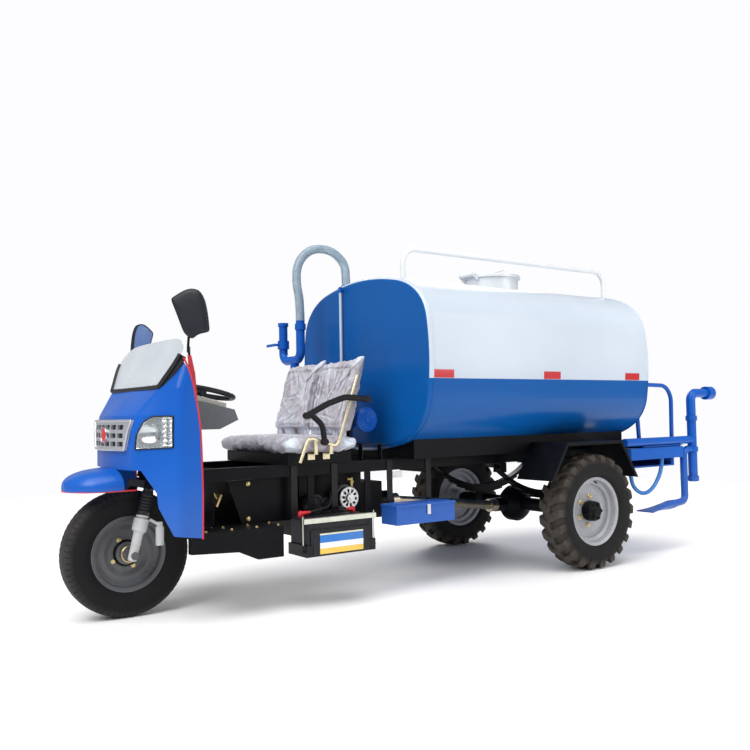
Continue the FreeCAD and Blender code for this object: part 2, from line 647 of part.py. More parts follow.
# Engine block with its mounts, generator and filter, gearbox and shaft.
cradle = []
for y in (at(engine_front), at(engine_rear) - 40):
    hoop = box(-rail_out, rail_out, y, y + 40, engine_low - 40 - fit, rail_z - fit)
    cradle.append(hoop.cut(box(-rail_out + 8, rail_out - 8, y - 1, y + 41, engine_low - fit, rail_top)))
keep("engine_cradle", cradle)
engine = box(engine_right, engine_left, at(engine_front), at(engine_rear), engine_low, engine_top)
gen_y, gen_z = at(1172), 548.0
gen = turned([(0, 0), (0, 40), (12, 66), (86, 66), (96, 58), (96, 22), (118, 22), (118, 0)], (engine_left + fit, gen_y, gen_z))
filter_can = turned([(0, 0), (0, 30), (8, 42), (84, 42), (92, 34), (92, 0)], (engine_left + fit, at(1032), 520))
gear_axis = 470.0
gearbox = box(-140, 140, at(engine_rear) + fit, at(engine_rear) + 230, engine_low + 10, engine_low + 230)
gearbox = joined([gearbox, rod((0, at(engine_rear) + 200, gear_axis), (0, at(engine_rear) + gearbox_len, gear_axis), 130)])
keep("engine", [engine, gen, filter_can, gearbox])
pinion_y = rear_y - diff_d / 2 - 70
shaft_a = (0, at(engine_rear) + gearbox_len + fit, gear_axis)
shaft_b = (0, pinion_y - fit, rear_z)
shaft = joined([rod(shaft_a, (0, shaft_a[1] + 60, gear_axis), 90), rod((0, shaft_b[1] - 60, rear_z), shaft_b, 90),
                rod((0, shaft_a[1] + 30, gear_axis), (0, shaft_b[1] - 30, rear_z), shaft_d)])
keep("propeller_shaft", shaft)

# Battery in its tray, hung on the left rail.
tray_z = battery_z - sheet - fit
tray = box(battery_x - 8, battery_x + battery_w + 8, at(battery_y) - 12, at(battery_y + battery_l) + 12, tray_z, battery_z + 56)
tray = tray.cut(box(battery_x - fit, battery_x + battery_w + fit, at(battery_y) - fit - 6, at(battery_y + battery_l) + fit + 6, tray_z + sheet, battery_z + 300))
for y in (at(battery_y) + 30, at(battery_y + battery_l) - 120):
    arm = box(rail_out + fit, rail_out + fit + 6, y, y + 40, tray_z, rail_top - 6)
    tray = tray.fuse(arm).fuse(box(rail_out + fit, battery_x - 2, y, y + 40, tray_z, tray_z + 6))
clamp_x, clamp_z = battery_x + battery_w + fit, battery_z + battery_h + 10 + fit
clamp = box(clamp_x - 24, clamp_x + sheet, at(battery_y) - 22, at(battery_y + battery_l) + 22, clamp_z, clamp_z + sheet)
clamp = clamp.fuse(box(clamp_x, clamp_x + sheet, at(battery_y) - 22, at(battery_y + battery_l) + 22, clamp_z - 22, clamp_z + sheet))
for y in (at(battery_y) - 12, at(battery_y + battery_l) + 12):
    out = 1 if y > at(battery_y) else -1
    ear_z = battery_z + 22
    tray = tray.fuse(box(clamp_x - 26, clamp_x - 8, min(y, y + out * 14), max(y, y + out * 14), ear_z, ear_z + 5))
    clamp = clamp.fuse(rod((clamp_x - 16, y + out * 7, ear_z + 5 + fit), (clamp_x - 16, y + out * 7, clamp_z + 16), 6))
keep("battery_tray", [tray.removeSplitter(), clamp.removeSplitter()])
batt = box(battery_x, battery_x + battery_w, at(battery_y), at(battery_y + battery_l), battery_z, battery_z + battery_h)
batt = batt.fuse(box(battery_x + 8, battery_x + battery_w - 8, at(battery_y) + 8, at(battery_y + battery_l) - 8, battery_z + battery_h, battery_z + battery_h + 10))
for y in (at(battery_y) + 40, at(battery_y + battery_l) - 40):
    batt = batt.fuse(Part.makeCylinder(11, 30, V(battery_x + 38, y, battery_z + battery_h)))
keep("battery", batt.removeSplitter())

# Toolbox with a hinged lid, hung on the left rail.
wall = 2.5
tool = box(box_x, box_x + box_w, at(box_y), at(box_y + box_l), box_z, box_z + box_h)
tool = tool.cut(box(box_x + wall, box_x + box_w - wall, at(box_y) + wall, at(box_y + box_l) - wall, box_z + wall, box_z + box_h + 1))
for y in (at(box_y) + 50, at(box_y + box_l) - 90):
    tool = tool.fuse(box(rail_out + fit, rail_out + fit + 5, y, y + 40, box_z + 20, rail_top - 6))
    tool = tool.fuse(box(rail_out + fit, box_x + 1, y, y + 40, box_z + 20, box_z + 60))
keep("toolbox", tool.removeSplitter())
lid_gap = 0.5
lid_low = box_z + box_h + lid_gap
box_pin = (box_x + 1.0, lid_low + 7)
box_pin_d = 6.0
lid = box(box_pin[0], box_x + box_w + 6, at(box_y) - 4, at(box_y + box_l) + 4, lid_low, lid_low + 14)
ridge = side_prism([(at(box_y) + 20, lid_low + 13), (at(box_y + box_l) - 20, lid_low + 13), (at(box_y + box_l) - 34, lid_low + 20),
                    (at(box_y) + 34, lid_low + 20)], box_x + 38, box_x + box_w - 10)
lid = lid.fuse(ridge).fuse(rod((box_pin[0], at(box_y) - 4, box_pin[1]), (box_pin[0], at(box_y + box_l) + 4, box_pin[1]), 14))
lid = lid.cut(rod((box_pin[0], at(box_y) - 20, box_pin[1]), (box_pin[0], at(box_y + box_l) + 20, box_pin[1]), box_pin_d + 2 * run_fit))
ears = []
for y in (at(box_y) + 60, at(box_y + box_l) - 68):
    lid = lid.cut(box(box_x - 12, box_x + 12, y - 2, y + 10, lid_low - 1, lid_low + 30))
    ears.append(box(box_x, box_x + wall, y, y + 8, box_z + box_h - 1, lid_low + 4))
    ears.append(rod((box_pin[0], y, box_pin[1]), (box_pin[0], y + 8, box_pin[1]), 12))
keep("toolbox_lid", lid.removeSplitter())
pin = rod((box_pin[0], at(box_y), box_pin[1]), (box_pin[0], at(box_y + box_l), box_pin[1]), box_pin_d)
pieces["toolbox"] = [joined([pieces["toolbox"][0], pin] + ears)]

# Water tank: a rounded section made of four broad arcs with tight corners,
# closed by flat heads, on cross saddles shaped to its belly.
tank_mid = tank_low + tank_h / 2


def tank_section(off, y):
    """Closed wire of the tank's section at the station y, set off outward."""
    hw, hh = tank_half + off, tank_h / 2 + off
    rs, rt = tank_side_r + off, tank_top_r + off
    cs, ct = hw - rs, hh - rt
    px = hw * 0.56
    pz = ct + sqrt(rt * rt - px * px)
    qz = hh * 0.44
    qx = cs + sqrt(rs * rs - qz * qz)
    t1, t2 = V(px, 0, pz - ct).normalize(), V(qx - cs, 0, qz).normalize()
    d1, d2 = V(t1.z, 0, -t1.x), V(-t2.z, 0, t2.x)
    chord = (V(qx, 0, qz) - V(px, 0, pz)).Length
    poles = [V(px, 0, pz), V(px, 0, pz) + d1 * chord * 0.37, V(qx, 0, qz) + d2 * chord * 0.37, V(qx, 0, qz)]
    quarter = []
    for sx, sz in ((1, 1), (1, -1), (-1, -1), (-1, 1)):
        b = Part.BezierCurve()
        b.setPoles([V(sx * p.x, y, tank_mid + sz * p.z) for p in poles])
        quarter.append(b.toShape())
    arcs = [Part.Arc(V(-px, y, tank_mid + pz), V(0, y, tank_mid + hh), V(px, y, tank_mid + pz)).toShape(),
            Part.Arc(V(-px, y, tank_mid - pz), V(0, y, tank_mid - hh), V(px, y, tank_mid - pz)).toShape(),
            Part.Arc(V(qx, y, tank_mid + qz), V(hw, y, tank_mid), V(qx, y, tank_mid - qz)).toShape(),
            Part.Arc(V(-qx, y, tank_mid + qz), V(-hw, y, tank_mid), V(-qx, y, tank_mid - qz)).toShape()]
    return Part.Wire(Part.__sortEdges__(quarter + arcs))


def tank_body(off, y0, y1):
    return Part.Face(tank_section(off, y0)).extrude(V(0, y1 - y0, 0))


tank = tank_body(0, at(tank_front), at(tank_front + tank_len))
tank = tank.makeFillet(tank_edge_r, [e for e in tank.Edges if abs(e.BoundBox.YLength) < 1])


def tank_z(x):
    """Height of the tank's top at the distance x from its middle."""
    line = Part.LineSegment(V(x, at(tank_front + 600), tank_mid), V(x, at(tank_front + 600), tank_mid + 900)).toShape()
    return tank.common(line).BoundBox.ZMax


keep("tank", tank)
saddle_ys = [at(tank_front + 60), at(tank_front + 620), at(tank_front + 1250), at(tank_front + tank_len - 100)]
belly = tank_body(fit, front_y, rear_y + 3000)
saddle_half = 470.0
saddles = []
for y in saddle_ys:
    s = front_prism([(-saddle_half, rail_top + fit), (saddle_half, rail_top + fit), (saddle_half, 905), (-saddle_half, 905)], y, y + 40)
    saddles.append(s.cut(belly))
sill_x = saddle_half + fit
sill = box(sill_x, sill_x + 5, at(tank_front + 50), at(tank_front + tank_len - 40), rail_top + fit, 872).cut(belly)
keep("tank_saddles", saddles + pair(sill))

# Manhole neck with its hinged lid, handrail, filler elbow and level tube.
neck_low = tank_z(manhole_d / 2 - 10) - 20
neck = Part.makeCylinder(manhole_d / 2, manhole_z - neck_low, V(0, at(manhole_y), neck_low))
neck = neck.cut(Part.makeCylinder(manhole_d / 2 - 6, 400, V(0, at(manhole_y), neck_low - 1)))
neck = neck.cut(tank_body(fit, at(tank_front), at(tank_front + tank_len)))
flange = Part.makeCylinder(manhole_d / 2 + 16, 10, V(0, at(manhole_y), manhole_z - 10)).cut(
    Part.makeCylinder(manhole_d / 2 - 6, 12, V(0, at(manhole_y), manhole_z - 11)))
pin_y, pin_z, pin_d = at(manhole_y - manhole_d / 2 - 34), manhole_z + 8, 12.0
lugs = []
for x in (-74, 62):
    lugs.append(side_prism([(at(manhole_y - manhole_d / 2), manhole_z - 10), (at(manhole_y - manhole_d / 2), manhole_z - 34),
                            (pin_y - 12, pin_z - 10), (pin_y - 12, pin_z + 12), (pin_y + 12, pin_z + 12), (pin_y + 14, manhole_z - 6)],
                           x, x + 12))
lugs.append(rod((-86, pin_y, pin_z), (86, pin_y, pin_z), pin_d))
keep("manhole_neck", joined([neck, flange] + lugs))
lid_z = manhole_z + lid_gap
cap = Part.makeCylinder(manhole_d / 2 + 12, lid_t, V(0, at(manhole_y), lid_z))
dome = Part.makeCone(manhole_d / 2 - 20, manhole_d / 2 - 70, 14, V(0, at(manhole_y), lid_z + lid_t))
strap = box(-58, 58, pin_y, at(manhole_y - manhole_d / 2 + 40), lid_z, lid_z + lid_t)
knuckle = rod((-60, pin_y, pin_z), (60, pin_y, pin_z), 24)
cap = joined([cap, dome, strap, knuckle]).cut(rod((-90, pin_y, pin_z), (90, pin_y, pin_z), pin_d + 2 * run_fit))
catch = box(-22, 22, at(manhole_y + manhole_d / 2) - 14, at(manhole_y + manhole_d / 2) + 34, lid_z + lid_t, lid_z + lid_t + 12)
handle = bent_tube([(-60, at(manhole_y + 90), lid_z + lid_t), (-60, at(manhole_y + 90), lid_z + 64), (60, at(manhole_y + 90), lid_z + 64),
                    (60, at(manhole_y + 90), lid_z + lid_t)], 12, 14)
keep("manhole_lid", joined([cap, catch, handle]))
foot_z = tank_z(hand_x)
rail_pts = [(hand_x, at(hand_front), foot_z - 12), (hand_x, at(hand_front), hand_z), (hand_x, at(hand_rear), hand_z), (hand_x, at(hand_rear), foot_z - 12)]
hand = bent_tube(rail_pts, hand_d, 95)
tank_skin = tank_body(fit, at(tank_front), at(tank_front + tank_len))
keep("handrail", hand.cut(tank_skin))

inlet_x, inlet_y = -300.0, tank_front + 104
inlet_z = tank_z(inlet_x)
inlet = joined([rod((inlet_x, at(inlet_y), inlet_z - 20), (inlet_x, at(inlet_y), inlet_z + 34), 70),
                rod((inlet_x, at(inlet_y), inlet_z - 20), (inlet_x, at(inlet_y), inlet_z + 8), 104)])
inlet = inlet.cut(tank_skin)

gauge_x, gauge_d = -172.0, 18.0
gauge_y = at(tank_front) - 26
gauge_top, gauge_low = tank_low + tank_h - 24, tank_low + 240
g = [rod((gauge_x, gauge_y, gauge_low), (gauge_x, gauge_y, gauge_top), gauge_d)]
for z in (gauge_low + 20, gauge_top - 20):
    g.append(rod((gauge_x, gauge_y, z), (gauge_x, at(tank_front) - fit, z), 16))
    g.append(rod((gauge_x, gauge_y, z - 16), (gauge_x, gauge_y, z + 16), 28))
keep("tank_fittings", [inlet, joined(g)])

# Pump on an angle bracket ahead of the tank, and the pipes up from it.
pump_y, pump_z = at(seat_back + pump_set), 990.0
pump = turned([(-90, 0), (-90, 70), (-70, 96), (40, 96), (60, 70), (70, 44), (180, 44), (190, 30), (280, 30), (280, 0)], (0, pump_y, pump_z))
outlet_x = -30.0
pump = pump.fuse(rod((outlet_x, pump_y, pump_z), (outlet_x, pump_y, pump_z + 120), pipe_d + 4))
pump = pump.fuse(box(-80, 60, pump_y - 60, pump_y + 60, pump_z - 140, pump_z - 60))
pulley = (turned([(280 + fit, 0), (280 + fit, 66), (286, 72), (296, 62), (306, 72), (310, 66), (310, 0)], (0, pump_y, pump_z)).cut(
    rod((270, pump_y, pump_z), (280, pump_y, pump_z), 70)))
foot_top = pump_z - 140 - fit
shelf = box(-rail_out, rail_out, pump_y - 70, pump_y + 70, foot_top - 6, foot_top)
legs = [shelf]
for x in (-rail_out, rail_out - 40):
    for y in (pump_y - 70, pump_y + 66):
        legs.append(box(x, x + 40, y, y + 4, rail_top + fit, foot_top))
keep("pump", [pump.removeSplitter(), pulley, joined(legs)])

riser_a, riser_b, riser_pipe_y = -620.0, -390.0, seat_back + pump_set - 40
u_z, top_a, top_b, valve_z = 1385.0, 1646.0, 1640.0, 1497.0
u_bend = bent_tube([(riser_a, at(riser_pipe_y), top_a), (riser_a, at(riser_pipe_y), u_z), (riser_b, at(riser_pipe_y), u_z),
                    (riser_b, at(riser_pipe_y), top_b)], pipe_d, 60)
collars = [rod((riser_b, at(riser_pipe_y), top_b - 60), (riser_b, at(riser_pipe_y), top_b - 20), pipe_d + 14),
           rod((riser_a, at(riser_pipe_y), top_a - 24), (riser_a, at(riser_pipe_y), top_a), pipe_d + 12),
           rod((riser_a, at(riser_pipe_y), valve_z - 27), (riser_a, at(riser_pipe_y), valve_z + 28), pipe_d + 20)]
feed = bent_tube([(outlet_x, pump_y, pump_z + 120 + fit), (outlet_x, pump_y, pump_z + 215), (-470, at(riser_pipe_y), pump_z + 215),
                  (-470, at(riser_pipe_y), u_z)], pipe_d, 60)
lever = rod((riser_a, at(riser_pipe_y) - 30, valve_z), (riser_a, at(riser_pipe_y) - 62, valve_z), 16)
lever = lever.fuse(box(riser_a - 118, riser_a + 12, at(riser_pipe_y) - 66, at(riser_pipe_y) - 60, valve_z - 9, valve_z + 9))
front_pipes = joined([u_bend] + collars + [feed, lever])
bore_deep = 60.0
front_pipes = front_pipes.cut(rod((riser_a, at(riser_pipe_y), top_a - bore_deep), (riser_a, at(riser_pipe_y), top_a + 1), pipe_d - 8))
keep("front_pipes", front_pipes)

# Delivery hose, from the second riser over the tank's front edge to the inlet.
hose_d = 60.0
hose_route = [(riser_b, at(riser_pipe_y), top_b + fit), (riser_b, at(riser_pipe_y), top_b + 140), (riser_b - 2, at(riser_pipe_y - 27), 1900),
              (riser_b + 5, at(riser_pipe_y - 15), 2030), (riser_b + 28, at(riser_pipe_y + 75), 2122), (inlet_x - 28, at(inlet_y - 95), 2120),
              (inlet_x - 4, at(inlet_y - 8), 2035), (inlet_x, at(inlet_y), 1950), (inlet_x, at(inlet_y), inlet_z + 34 + fit)]


def cord_tube(route, d):
    p = [V(*q) for q in route]
    radii = []
    for i in range(1, len(p) - 1):
        half_turn = (p[i] - p[i - 1]).getAngle(p[i + 1] - p[i]) / 2
        radii.append(0.45 * min((p[i] - p[i - 1]).Length, (p[i + 1] - p[i]).Length) / tan(half_turn))
    print("radii", [round(r) for r in radii])
    s = bent_tube(route, d, radii)
    length = bent_path(route, radii).Length
    print("volume over section times length", round(s.Volume / (pi * d * d / 4 * length), 4))
    return s


keep("delivery_hose", cord_tube(hose_route, hose_d))

# Rear axle with its springs and hangers.
axle_end = half_track - 120
beam_parts = [rod((-axle_end, rear_y, rear_z), (axle_end, rear_y, rear_z), axle_tube_d),
              turned([(-100, 0), (-100, 50), (-62, diff_d / 2 - 22), (-30, diff_d / 2), (30, diff_d / 2), (62, diff_d / 2 - 22), (100, 50), (100, 0)],
                     (0, rear_y, rear_z)),
              rod((0, rear_y, rear_z), (0, pinion_y, rear_z), 96),
              rod((-half_track - 40, rear_y, rear_z), (half_track + 40, rear_y, rear_z), spindle_d)]
spring_x = rail_out - rail_w / 2
pad_top = rear_z + axle_tube_d / 2 + 14
for x in (-spring_x, spring_x):
    beam_parts.append(box(x - 34, x + 34, rear_y - 55, rear_y + 55, rear_z, pad_top))
keep("rear_axle", joined(beam_parts))
leaves = 5
eye_drop = 55.7            # ends of the main leaf below the rail
eye_z = rail_z - eye_drop
rise = eye_z - pad_top - fit - leaves * leaf_t
spring_r = (spring_span ** 2 / 4 + rise ** 2) / (2 * rise)
arc_mid = pad_top + fit + spring_r + leaves * leaf_t


def on_arc(r, angle):
    return V(spring_x - spring_w / 2, rear_y + r * sin(angle), arc_mid - r * cos(angle))


spring = None
for k in range(leaves):
    a = asin(spring_span / 2 / spring_r) * (1 - 0.17 * k)
    r0, r1 = spring_r + k * leaf_t, spring_r + (k + 1) * leaf_t
    e = [Part.Arc(on_arc(r0, -a), on_arc(r0, 0), on_arc(r0, a)).toShape(), Part.LineSegment(on_arc(r0, a), on_arc(r1, a)).toShape(),
         Part.Arc(on_arc(r1, a), on_arc(r1, 0), on_arc(r1, -a)).toShape(), Part.LineSegment(on_arc(r1, -a), on_arc(r0, -a)).toShape()]
    leaf = Part.Face(Part.Wire(e)).extrude(V(spring_w, 0, 0))
    spring = leaf if spring is None else spring.fuse(leaf)
for s in (-1, 1):
    spring = spring.fuse(rod((spring_x - spring_w / 2, rear_y + s * spring_span / 2, eye_z + 14), (spring_x + spring_w / 2, rear_y + s * spring_span / 2, eye_z + 14), 40))
for s in (-1, 1):
    spring = spring.cut(rod((spring_x - spring_w, rear_y + s * spring_span / 2, eye_z + 14), (spring_x + spring_w, rear_y + s * spring_span / 2, eye_z + 14), 16 + 2 * fit))
hangers = []
for s in (-1, 1):
    y = rear_y + s * spring_span / 2
    h = rod((spring_x - spring_w / 2 - 12, y, eye_z + 14), (spring_x + spring_w / 2 + 12, y, eye_z + 14), 16)
    for x in (spring_x - spring_w / 2 - 9, spring_x + spring_w / 2 + 1):
        h = h.fuse(box(x, x + 8, y - 24, y + 24, eye_z - 8, rail_z - fit))
    hangers.append(h.fuse(box(spring_x - spring_w / 2 - 9, spring_x + spring_w / 2 + 9, y - 24, y + 24, rail_z - 10 - fit, rail_z - fit)))
keep("leaf_springs", pair(spring) + hangers + [across(h) for h in hangers])

# Rear wheels: wide tyres on plain disc rims, on hubs that turn on the axle ends.
wheel_at = (half_track, rear_y, rear_z)
tyre_l = turned(tyre(rear_tyre_d, rear_tyre_w, rear_rim_d, rear_rim_w), wheel_at)
rear_seat_r = rear_hub_d / 2 + fit
rim_l = turned(rim(rear_rim_d, rear_rim_w, 0, 140, 78, rear_seat_r), wheel_at)
hb = spindle_d / 2 + run_fit
hub_l = turned([(-86, hb), (-86, 62), (-60, 62), (-52, rear_hub_d / 2), (-14, rear_hub_d / 2), (-14, 104), (-fit, 104), (-fit, rear_hub_d / 2),
                (36, rear_hub_d / 2), (44, 50), (60, 50), (66, 44), (66, 0), (58, 0), (58, hb)], wheel_at)
keep("rear_tyre_left", tyre_l)
keep("rear_tyre_right", across(tyre_l))
keep("rear_wheel_left", [rim_l, hub_l])
keep("rear_wheel_right", [across(rim_l), across(hub_l)])

# Mudguards: bent sheet over each rear wheel, bolted to the sills.
gz = guard_top
guard_line = [(rear_y - 448, gz - 230), (rear_y - 300, gz), (rear_y + 228, gz), (rear_y + 382, gz - 248)]
inside = [(rear_y + 382 - sheet, gz - 248), (rear_y + 228 - 2, gz - sheet), (rear_y - 300 + 2, gz - sheet), (rear_y - 448 + sheet, gz - 230)]
guard = side_prism(guard_line + inside, sill_x + 5 + fit, guard_out)
lip = side_prism(guard_line + [(rear_y + 360, gz - 248), (rear_y + 216, gz - 20), (rear_y - 288, gz - 20), (rear_y - 426, gz - 230)], guard_out - sheet, guard_out)
keep("rear_mudguards", pair(guard.fuse(lip).removeSplitter()))

# Rear platform: side channels, cross channel and deck, on the ends of the rails.
ch_low, ch_top = 667.0, 747.0
channel = box(deck_half - 50, deck_half, at(deck_front), at(deck_rear), ch_low, ch_top)
tail = box(-deck_half, deck_half, at(deck_rear) - 50, at(deck_rear), ch_low, ch_top).cut(
    box(-rail_out - fit, rail_out + fit, at(deck_rear) - 60, at(rail_rear) + fit, ch_low - 1, ch_top + 20))
front_bar = box(-deck_half, -rail_out - fit, at(deck_front), at(deck_front) + 50, ch_low, ch_top)
front_bar = front_bar.fuse(across(front_bar))
deck_z = rail_top + fit
deck = box(-deck_half, deck_half, at(tank_front + tank_len) + 20, at(deck_rear), deck_z, deck_z + 5)
skirt = box(-deck_half + 20, -deck_half + 24, at(tank_front + tank_len) + 20, at(deck_rear), ch_top - 4, deck_z + 2)
panel = box(-deck_half + 145, deck_half - 145, at(tank_front + tank_len) + 70, at(deck_rear) - 45, deck_z, deck_z + 8)
platform = joined([channel, across(channel), tail, front_bar, skirt, across(skirt), deck, panel])
tail = box(-deck_half + 60, deck_half - 60, at(deck_front) + 80, at(deck_rear) - 60, 606, ch_low - fit - 50).fuse(
    box(-deck_half + 60, deck_half - 60, at(deck_rear) - 62, at(deck_rear) - 30, 606, ch_low - fit)).removeSplitter()
keep("rear_platform", [platform, tail])

# Guard loops and plates between the tank's rear head and the platform.
tank_rear = tank_front + tank_len
loops = []
loop_x = riser_x - 50
loop = bent_tube([(loop_x, at(tank_rear) + 40, 1200), (loop_x, at(deck_rear) - 20, 1190), (loop_x, at(deck_rear) - 30, deck_z + 5 + fit)], guard_d, 120)
brace = rod((loop_x, at(tank_rear) + 60, deck_z + 5 + fit), (loop_x, at(tank_rear) + 30, 1150), guard_d)
plate = box(loop_x - 14, loop_x + 14, at(tank_rear) + fit, at(tank_rear) + 46, 960, 1216)
loops = joined([loop, brace, plate])
keep("guard_loops", pair(loops.cut(box(loop_x - 60, loop_x + 60, at(tank_rear), at(deck_rear), rail_top - 60, deck_z + 5 + fit))))

# Rear pipes: long pipe from below the tank to the riser with its spray mouth,
# and the branch down to the flat road nozzle.
pipe_z = deck_z + 5 + fit + pipe_d / 2
long_pipe = rod((riser_x, at(deck_front) - 40, pipe_z), (riser_x, at(riser_y), pipe_z), pipe_d)
riser = rod((riser_x, at(riser_y), 480), (riser_x, at(riser_y), 1060), riser_d)
mouth_y = overall_length / 2
elbow = bent_tube([(riser_x, at(riser_y), 1060), (riser_x, at(riser_y), 1135), (riser_x, mouth_y - 40, 1135)], riser_d, 55)
mouth = rod((riser_x, mouth_y - 70, 1135), (riser_x, mouth_y, 1135), mouth_d)
rings = [rod((riser_x, at(riser_y), z), (riser_x, at(riser_y), z + 36), riser_d + 16) for z in (484, 700, 930)]
branch_y = riser_y - 112
branch = bent_tube([(riser_x, at(riser_y), 720), (riser_x, at(branch_y), 720), (riser_x, at(branch_y), 345), (riser_x, at(branch_y) - 150, 330)], 52, 48)
duck = Part.makeLoft([Part.Wire(Part.makeCircle(30, V(riser_x, at(branch_y) - 130, 332), V(0, 1, 0))),
                      Part.Wire(Part.makeCircle(33, V(riser_x, at(branch_y) - 200, 328), V(0, 1, 0))),
                      Part.makePolygon([V(riser_x - 70, at(branch_y) - 470, 298), V(riser_x + 70, at(branch_y) - 470, 298),
                                        V(riser_x + 70, at(branch_y) - 470, 306), V(riser_x - 70, at(branch_y) - 470, 306),
                                        V(riser_x - 70, at(branch_y) - 470, 298)])], True, True)
mouth_deep = 60.0
rear_pipes = joined([long_pipe, riser, elbow, mouth] + rings + [branch, duck])
rear_pipes = rear_pipes.cut(rod((riser_x, mouth_y - mouth_deep, 1135), (riser_x, mouth_y + 1, 1135), mouth_d - 16))
keep("rear_pipes", rear_pipes)

# Thin drain hose that sags below the platform.
drain_d = 28.0
drain_route = [(riser_x, at(deck_rear - 225), ch_low - fit), (riser_x, at(deck_rear - 225), 592), (riser_x, at(deck_rear - 308), 478),
               (riser_x - 1, at(deck_rear - 405), 425), (riser_x - 2, at(deck_rear - 500), 440), (riser_x - 3, at(deck_rear - 580), 520),
               (riser_x - 3, at(deck_rear - 580), ch_low - fit)]
keep("drain_hose", cord_tube(drain_route, drain_d))

for name, solids in pieces.items():
    shape = solids[0] if len(solids) == 1 else Part.makeCompound(solids)
    shape.exportStep("parts/" + name + ".step")
    bb = shape.BoundBox
    print(name, len(shape.Solids), shape.isValid(), round(shape.Volume / 1e6, 2),
          [round(v) for v in (bb.XMin, bb.XMax, bb.YMin, bb.YMax, bb.ZMin, bb.ZMax)])
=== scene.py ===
import bpy
import bmesh
import math
from mathutils import Matrix, Vector, noise
from mathutils.bvhtree import BVHTree


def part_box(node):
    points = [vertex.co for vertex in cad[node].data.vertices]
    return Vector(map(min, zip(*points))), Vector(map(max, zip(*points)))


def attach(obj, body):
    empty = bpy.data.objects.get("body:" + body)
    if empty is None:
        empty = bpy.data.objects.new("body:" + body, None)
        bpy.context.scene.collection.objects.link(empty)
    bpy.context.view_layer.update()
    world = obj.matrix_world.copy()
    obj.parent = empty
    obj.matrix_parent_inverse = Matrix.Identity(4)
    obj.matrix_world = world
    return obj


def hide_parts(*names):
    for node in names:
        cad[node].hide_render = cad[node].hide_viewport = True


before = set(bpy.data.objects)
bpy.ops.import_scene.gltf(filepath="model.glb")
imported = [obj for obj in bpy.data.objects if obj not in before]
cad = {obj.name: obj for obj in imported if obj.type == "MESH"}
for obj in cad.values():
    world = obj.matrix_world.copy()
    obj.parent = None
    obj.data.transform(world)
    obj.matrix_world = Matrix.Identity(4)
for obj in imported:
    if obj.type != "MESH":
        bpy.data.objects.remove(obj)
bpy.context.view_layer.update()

# Camera: it stands low ahead of the front wheel, off the vehicle's left side,
# and looks a little up past the seat.
camera = bpy.data.objects.new("camera", bpy.data.cameras.new("camera"))
bpy.context.collection.objects.link(camera)
camera.data.lens, camera.data.sensor_width = 40.08, 36.0
camera.matrix_world = (Matrix.Translation((4.3425, -3.4558, 1.0254))
                       @ Matrix.Rotation(math.radians(54.7595), 4, "Z")
                       @ Matrix.Rotation(math.radians(92.631), 4, "X")
                       @ Matrix.Rotation(math.radians(-1.0157), 4, "Z"))
bpy.context.scene.camera = camera


# Ground and light: a pale painted studio floor that meets a white wall of light,
# with a broad soft lamp high on the left front and weaker ones behind.
bpy.context.scene.view_settings.view_transform = "Standard"


def linear(code):
    """Turns an sRGB hex colour into the linear values that a shader takes."""
    parts = [int(code[i:i + 2], 16) / 255 for i in (1, 3, 5)]
    return (*[c / 12.92 if c <= 0.04045 else ((c + 0.055) / 1.055) ** 2.4 for c in parts], 1.0)


def add(tree, kind, inputs=(), **settings):
    """Adds a shader node; an input is given a value or joined to another node's output."""
    made = tree.nodes.new("ShaderNode" + kind)
    for name, value in settings.items():
        setattr(made, name, value)
    for name, value in dict(inputs).items():
        if isinstance(value, bpy.types.NodeSocket):
            tree.links.new(value, made.inputs[name])
        else:
            made.inputs[name].default_value = value
    return made


def finish(name, **constants):
    """Opens a finish: the material, its node tree, its shader and the place in the vehicle's frame."""
    made = bpy.data.materials.new(name)
    made.use_nodes = True
    shader = made.node_tree.nodes["Principled BSDF"]
    for key, value in constants.items():
        shader.inputs[key.replace("_", " ")].default_value = value
    return made, made.node_tree, shader, add(made.node_tree, "TexCoord").outputs["Object"]


def join(tree, source, shader, name):
    """Leads a node's output to the shader."""
    tree.links.new(source, shader.inputs[name])


def mottled(tree, shader, place, size, detail, dark, light):
    """Lays two shades of one colour on a shader, in soft clouds of a given size."""
    cloud = add(tree, "TexNoise", {"Vector": place, "Scale": 1 / size, "Detail": detail})
    tone = add(tree, "Mix", {0: cloud.outputs["Fac"], 6: linear(dark), 7: linear(light)}, data_type="RGBA")
    join(tree, tone.outputs[2], shader, "Base Color")
    return cloud


def mesh_piece(name, verts, faces, paint, body, angle=35):
    """Stands a mesh in the vehicle's frame with its finish and its body."""
    mesh = bpy.data.meshes.new(name)
    mesh.from_pydata([tuple(v) for v in verts], [], faces)
    mesh.update()
    mesh.materials.append(paint)
    mesh.shade_smooth()
    mesh.set_sharp_from_angle(angle=math.radians(angle))
    made = bpy.data.objects.new(name, mesh)
    bpy.context.collection.objects.link(made)
    if body:
        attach(made, body)
    return made


